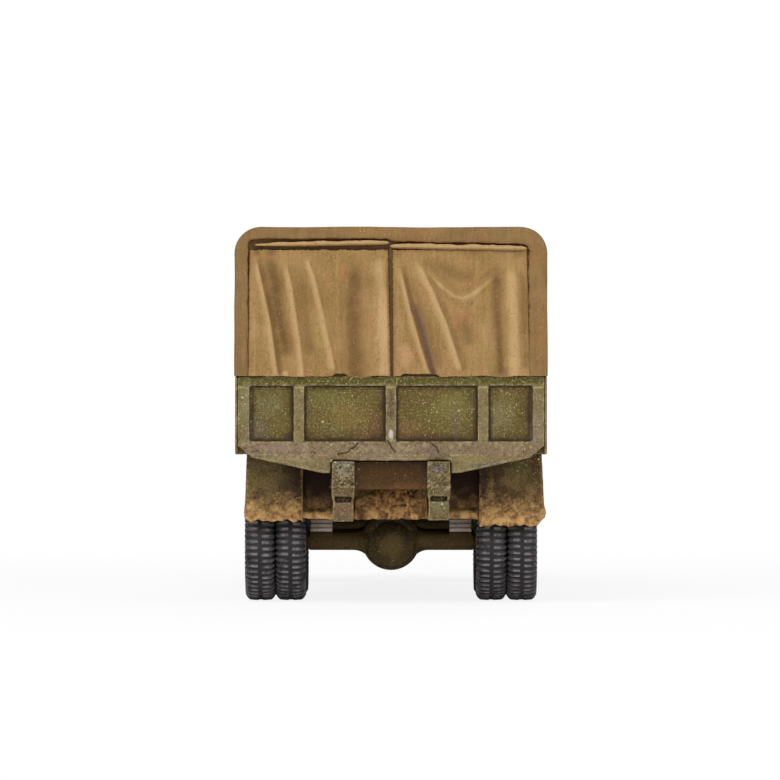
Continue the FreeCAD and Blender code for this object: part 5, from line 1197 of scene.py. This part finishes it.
def buildApron():
    piece = copyOf("rear_apron")
    recast(piece, apron["grain"], apron["rough"], 1)
    low, high = box("rear_apron")
    shades = []

    def cake(point):
        x, y, z = point
        upright = (z - low.z) / (high.z - low.z)
        if x < 0:
            x += apron["leanLeft"] * (0.6 + 0.4 * upright) * eased(-x, 9.0, high.x)
        else:
            x += (apron["leanRight"] * (1 - upright) + 0.05) * eased(x, 9.0, high.x)
        lower = 1 - eased(z, low.z + 0.2, apron["mudTop"])
        centre = 1 - eased(abs(x), 3.0, 3.7)
        slope = low.z + 2.3 + 1.9 * eased(x, -3.4, 1.0)
        mound = centre * (1 - eased(z + 0.3 * noise.noise(point * 0.8), slope - 0.1, slope + 0.3))
        rough = noise.fractal(point * 1.2, 0.8, 2.1, 5)
        fine = noise.noise(point * 4.4) * 0.6 + noise.noise(point * 8.0) * 0.4
        rear = eased(y, high.y - 0.2, high.y - 1.2)
        between = eased(abs(x), 3.3, 3.7) * eased(abs(x), 9.1, 8.6)
        ledge = between * (1 - eased(z + 0.3 * noise.noise(point * 0.9), apron["ledge"] - 0.5, apron["ledge"]))
        cracks = max(0.5 - abs(noise.noise(point * 0.55 + Vector((5, 2, 1)))) * 6, 0.0)
        lift = apron["thick"] * (lower * (0.35 + 0.65 * rough) + mound * (1.2 + 0.9 * rough - 1.2 * cracks)) * rear
        lift += (0.05 + 0.06 * lower) * fine * rear + ledge * 1.75 * eased(y, high.y - 0.1, high.y - 0.5)
        foot = 1 - eased(z, low.z, low.z + 1.3)
        drop = foot * (0.3 * noise.noise(Vector((x * 1.4, 0, 4.0))) - 0.12)
        drop += foot * (0.36 * eased(-x, 8.0, 9.2) - 0.14 * eased(x, 8.0, 9.2) - 0.24 * (1 - eased(abs(x), 8.6, 9.2)))
        upper = eased(z + 0.4 * noise.noise(point * 0.7), apron["ledge"] + 0.1, apron["ledge"] + 1.0)
        # painted shade in the recesses beside the middle, above the ledge, and along the top under the sill
        inner = eased(abs(x) + 0.7 * noise.noise(point * 0.8), 11.9, 9.0) * eased(abs(x), 3.3, 3.8)
        under = 0.6 * eased(z, high.z - 2.2, high.z - 0.4) * eased(abs(x), 12.5, 6.0)
        shades.append(max(inner * upper, under))
        corner = foot * 0.6 * eased(abs(x), high.x - 0.8, high.x + 0.1) ** 2
        lump = 0.16 * math.exp(-((z - 9.0) / 0.7) ** 2) * eased(abs(x), high.x - 0.6, high.x)
        return x + math.copysign(lump, x), y - lift, z + drop + corner

    moved(piece, cake)
    attributes(piece, shade=shades)
    bent(piece)
    smooth(piece, 60)
    return finish(piece, "muddyApronWithPaintedShade", "apron", "chassis", ["rear_apron"])


buildApron()
print("apron done")

# Small fittings that join the castings.

fittings = {  # millimetres
    "studHead": 0.72,  # share of its foot's width
    "nuts": 6, "nutCircle": 2.0, "nutRadius": 0.2, "nutHigh": 0.16,
    "nutFace": {"front": 1.12, "middle": 0.58, "rear": 0.58},  # from a rim's middle out to its disc
    "hingeRadius": 0.15, "hingeIn": 0.5, "hingeDown": 0.56, "hingeFall": 1.0,  # along the bonnet, as it falls
    "bolts": (-10.5, -5.35, 5.35, 10.5), "boltRadius": 0.24, "boltHigh": 0.14, "boltProud": 0.02, "bumperTop": 12.8,
    "lampAside": 8.6, "lampUp": 17.5, "lampIn": 0.42, "lampRadius": 1.0, "lampCrown": 0.5, "lampBack": -0.2,
}


def stud(place, radius, high, along, sides=6):  # a low nut or rivet head, standing out along an axis
    piece = primitive("cylinder", (0, 0, 0), vertices=sides, radius=radius * mm, depth=high * mm)
    for vertex in piece.data.vertices:  # narrower at its head
        if vertex.co.z > 0:
            vertex.co.x *= fittings["studHead"]
            vertex.co.y *= fittings["studHead"]
    turn = Vector((0, 0, 1)).rotation_difference(Vector(along)).to_matrix().to_4x4()
    piece.data.transform(Matrix.Translation(Vector(place) * mm) @ turn)
    return piece


def wheelNuts(row, side):
    low, high = box(f"{row}_{side}_rim")
    middle = (low + high) / 2
    out = 1 if side == "right" else -1
    face = middle.x + out * fittings["nutFace"][row]
    circle = fittings["nutCircle"]
    studs = []
    for i in range(fittings["nuts"]):
        turn = math.tau * (i + 0.5) / fittings["nuts"]
        place = (face, middle.y + circle * math.cos(turn), middle.z + circle * math.sin(turn))
        studs.append(stud(place, fittings["nutRadius"], fittings["nutHigh"], (out, 0, 0)))
    return studs


def bonnetFittings():  # the hinge along the middle of the bonnet
    low, high = box("bonnet")
    long = high.y - low.y
    strip = primitive("cylinder", (0, 0, 0), vertices=10, radius=fittings["hingeRadius"] * mm,
                      depth=(long - 2 * fittings["hingeIn"]) * mm)
    fall = Matrix.Rotation(math.pi / 2 - fittings["hingeFall"] / long, 4, "X")
    middle = Vector((0, (low.y + high.y) / 2, high.z - fittings["hingeDown"]))
    strip.data.transform(Matrix.Translation(middle * mm) @ fall)
    return [strip]


def frontFittings():  # bolts along the bumper
    low, high = box("front_bumper")
    y, z = high.y + fittings["boltProud"], (low.z + fittings["bumperTop"]) / 2
    return [stud((x, y, z), fittings["boltRadius"], fittings["boltHigh"], (0, 1, 0), 8) for x in fittings["bolts"]]


def lampLenses():  # glass over each headlamp, with its rim left free
    low, high = box("headlamps")
    pieces = []
    for side in (-1, 1):
        lens = primitive("uv_sphere", (0, 0, 0), segments=28, ring_count=14, radius=fittings["lampRadius"] * mm)
        centre = Vector((side * fittings["lampAside"], high.y - fittings["lampIn"], fittings["lampUp"]))
        moved(lens, lambda point: (
            centre.x + point.x, centre.y + max(point.y, fittings["lampBack"]) * fittings["lampCrown"],
            centre.z + point.z,
        ))
        pieces.append(lens)
    piece = joined(pieces)
    smooth(piece, 40)
    return finish(piece, "lampLenses", "lens", "chassis")


extras = {}  # what joins a node's casting
for row in ("front", "middle", "rear"):
    for side in ("left", "right"):
        extras[f"{row}_{side}_rim"] = wheelNuts(row, side)
castings = {  # finish, then nodes with the width of their softened edges
    "bodyWorn": {"bonnet": 0.0, "radiator": 0.0},
    "frontWorn": {"front_wings": 0.0},
    "body": {"cab_front": 0.1, "cab_back": 0.1, "cab_doors": 0.07, "cab_roof": 0.0,
             "brush_guard": 0.0, "headlamps": 0.04, "headboard": 0.1, "bed_floor": 0.1, "fuel_tank": 0.06,
             "tool_locker": 0.08, "spare_rim": 0.05},
    "front": {"front_bumper": 0.1, "running_boards": 0.08},
    "sides": {"bed_sides": 0.12},
    "frame": {"chassis_frame": 0.08},
    "underside": {"front_axle": 0.05, "middle_axle": 0.05, "front_springs": 0.03,
                  "propeller_shafts": 0.0, "transfer_case": 0.1, "engine_block": 0.15, "cab_floor": 0.05},
    "axle": {"rear_axle": 0.05},
    "seat": {"seat": 0.3},
    "blacked": {"steering_wheel": 0.0},
    "springs": {"rear_springs": 0.04},
    "rims": {rim: 0.05 for rim in extras},
    "glass": {"windscreen": 0.0},
}
recasts = {"bonnet": 0.17, "front_wings": 0.2, "radiator": 0.12}  # remeshed in faces of this size
recastRough = 0.02
extras["bonnet"] = bonnetFittings()
extras["front_bumper"] = frontFittings()


def castPiece(node, finishName, edge):  # a CAD node with its edges softened and its fittings joined to it
    piece = copyOf(node)
    if node in recasts:
        recast(piece, recasts[node], recastRough)
        attributes(piece, shade=0.0)
        bent(piece)
    elif edge > 0:
        edit(piece)
        bpy.ops.mesh.dissolve_limited(angle_limit=math.radians(0.3))
        leave()
        applied(piece, "BEVEL", width=edge * mm, segments=2, limit_method="ANGLE", angle_limit=math.radians(32))
    if node in extras:
        piece = joined([piece, *extras[node]])
    smooth(piece)
    return finish(piece, node + "Cast", finishName, bodyOf[node], [node])


for finishName, nodes in castings.items():
    for node, edge in nodes.items():
        castPiece(node, finishName, edge)
lampLenses()
print("castings done")

# Floor, light and camera.

studio = {
    "eye": (-0.1, -644.4, 21.25),   # millimetres
    "lens": 280.5,
    "clip": 0.01,                   # metres, as all that follows
    "floor": 6,
    "near": 0.06,                   # the floor shows its shadow to here
    "clear": 0.2,                   # and is plain white past here
    "glow": 0.86,                   # how much of the floor is plain white where it shows its shadow
    "sky": 0.25,
    "aim": (0, 0, 0.015),
    "lamps": [                      # name, place, size and power
        ("keyLight", (-0.3, -0.5, 0.55), 0.5, 3.6),
        ("fillLight", (0.5, -0.5, 0.35), 0.6, 1.7),
        ("lowLight", (0.0, -0.6, 0.06), 0.5, 1.6),
        ("frontLight", (0.1, 0.6, 0.6), 0.6, 2.38),
    ],
}


def stageFinish():  # white to the camera, with the object's shadow left on it
    shader = Shader("paleFloor")
    shader.tree.nodes.remove(shader.surface)
    across = shader.add("ShaderNodeVectorMath", {"operation": "LENGTH"}, {0: shader.point}, "Value")
    seen = shader.add("ShaderNodeLightPath", {}, {}, "Is Camera Ray")
    glow = studio["glow"]
    share = seen * (shader.step(across, studio["near"], studio["clear"]) * (1 - glow) + glow)
    matt = shader.add("ShaderNodeBsdfDiffuse", {}, {"Color": (0.92, 0.92, 0.92, 1)})
    plain = shader.add("ShaderNodeEmission", {}, {"Color": (1, 1, 1, 1)})
    both = shader.add("ShaderNodeMixShader", {}, {0: share, 1: matt, 2: plain})
    shader.tree.links.new(both.socket, shader.output.inputs["Surface"])
    return shader.material


def buildSky():  # dim to the object, white where it is seen itself or through glass
    world = bpy.data.worlds.new("studioWorld")
    bpy.context.scene.world = world
    world.use_nodes = True
    tree = world.node_tree
    tree.nodes.clear()
    kinds = ("OutputWorld", "Background", "Background", "LightPath", "Math", "MixShader")
    output, dim, white, path, seen, mixer = (tree.nodes.new("ShaderNode" + kind) for kind in kinds)
    dim.inputs["Color"].default_value = white.inputs["Color"].default_value = (1, 1, 1, 1)
    dim.inputs["Strength"].default_value = studio["sky"]
    seen.operation = "MAXIMUM"
    for start, end in (
        (path.outputs["Is Camera Ray"], seen.inputs[0]), (path.outputs["Is Transmission Ray"], seen.inputs[1]),
        (seen.outputs[0], mixer.inputs[0]), (dim.outputs[0], mixer.inputs[1]),
        (white.outputs[0], mixer.inputs[2]), (mixer.outputs[0], output.inputs[0]),
    ):
        tree.links.new(start, end)


def buildStage():
    floor = primitive("plane", (0, 0, 0), size=studio["floor"])
    floor.name = "studioFloor"
    floor.data.materials.append(stageFinish())
    buildSky()
    for name, place, size, energy in studio["lamps"]:
        bpy.ops.object.light_add(type="AREA", location=place)
        lamp = bpy.context.view_layer.objects.active
        lamp.name = name
        lamp.data.size = size
        lamp.data.energy = energy
        aim = Vector(studio["aim"]) - Vector(place)
        lamp.rotation_euler = aim.to_track_quat("-Z", "Y").to_euler()
    bpy.ops.object.camera_add(location=[value * mm for value in studio["eye"]], rotation=(math.pi / 2, 0, 0))
    camera = bpy.context.view_layer.objects.active
    camera.data.lens = studio["lens"]
    camera.data.sensor_width = 36
    camera.data.clip_start = studio["clip"]
    bpy.context.scene.camera = camera
    bpy.context.scene.view_settings.view_transform = "Standard"


buildStage()
print("scene done")
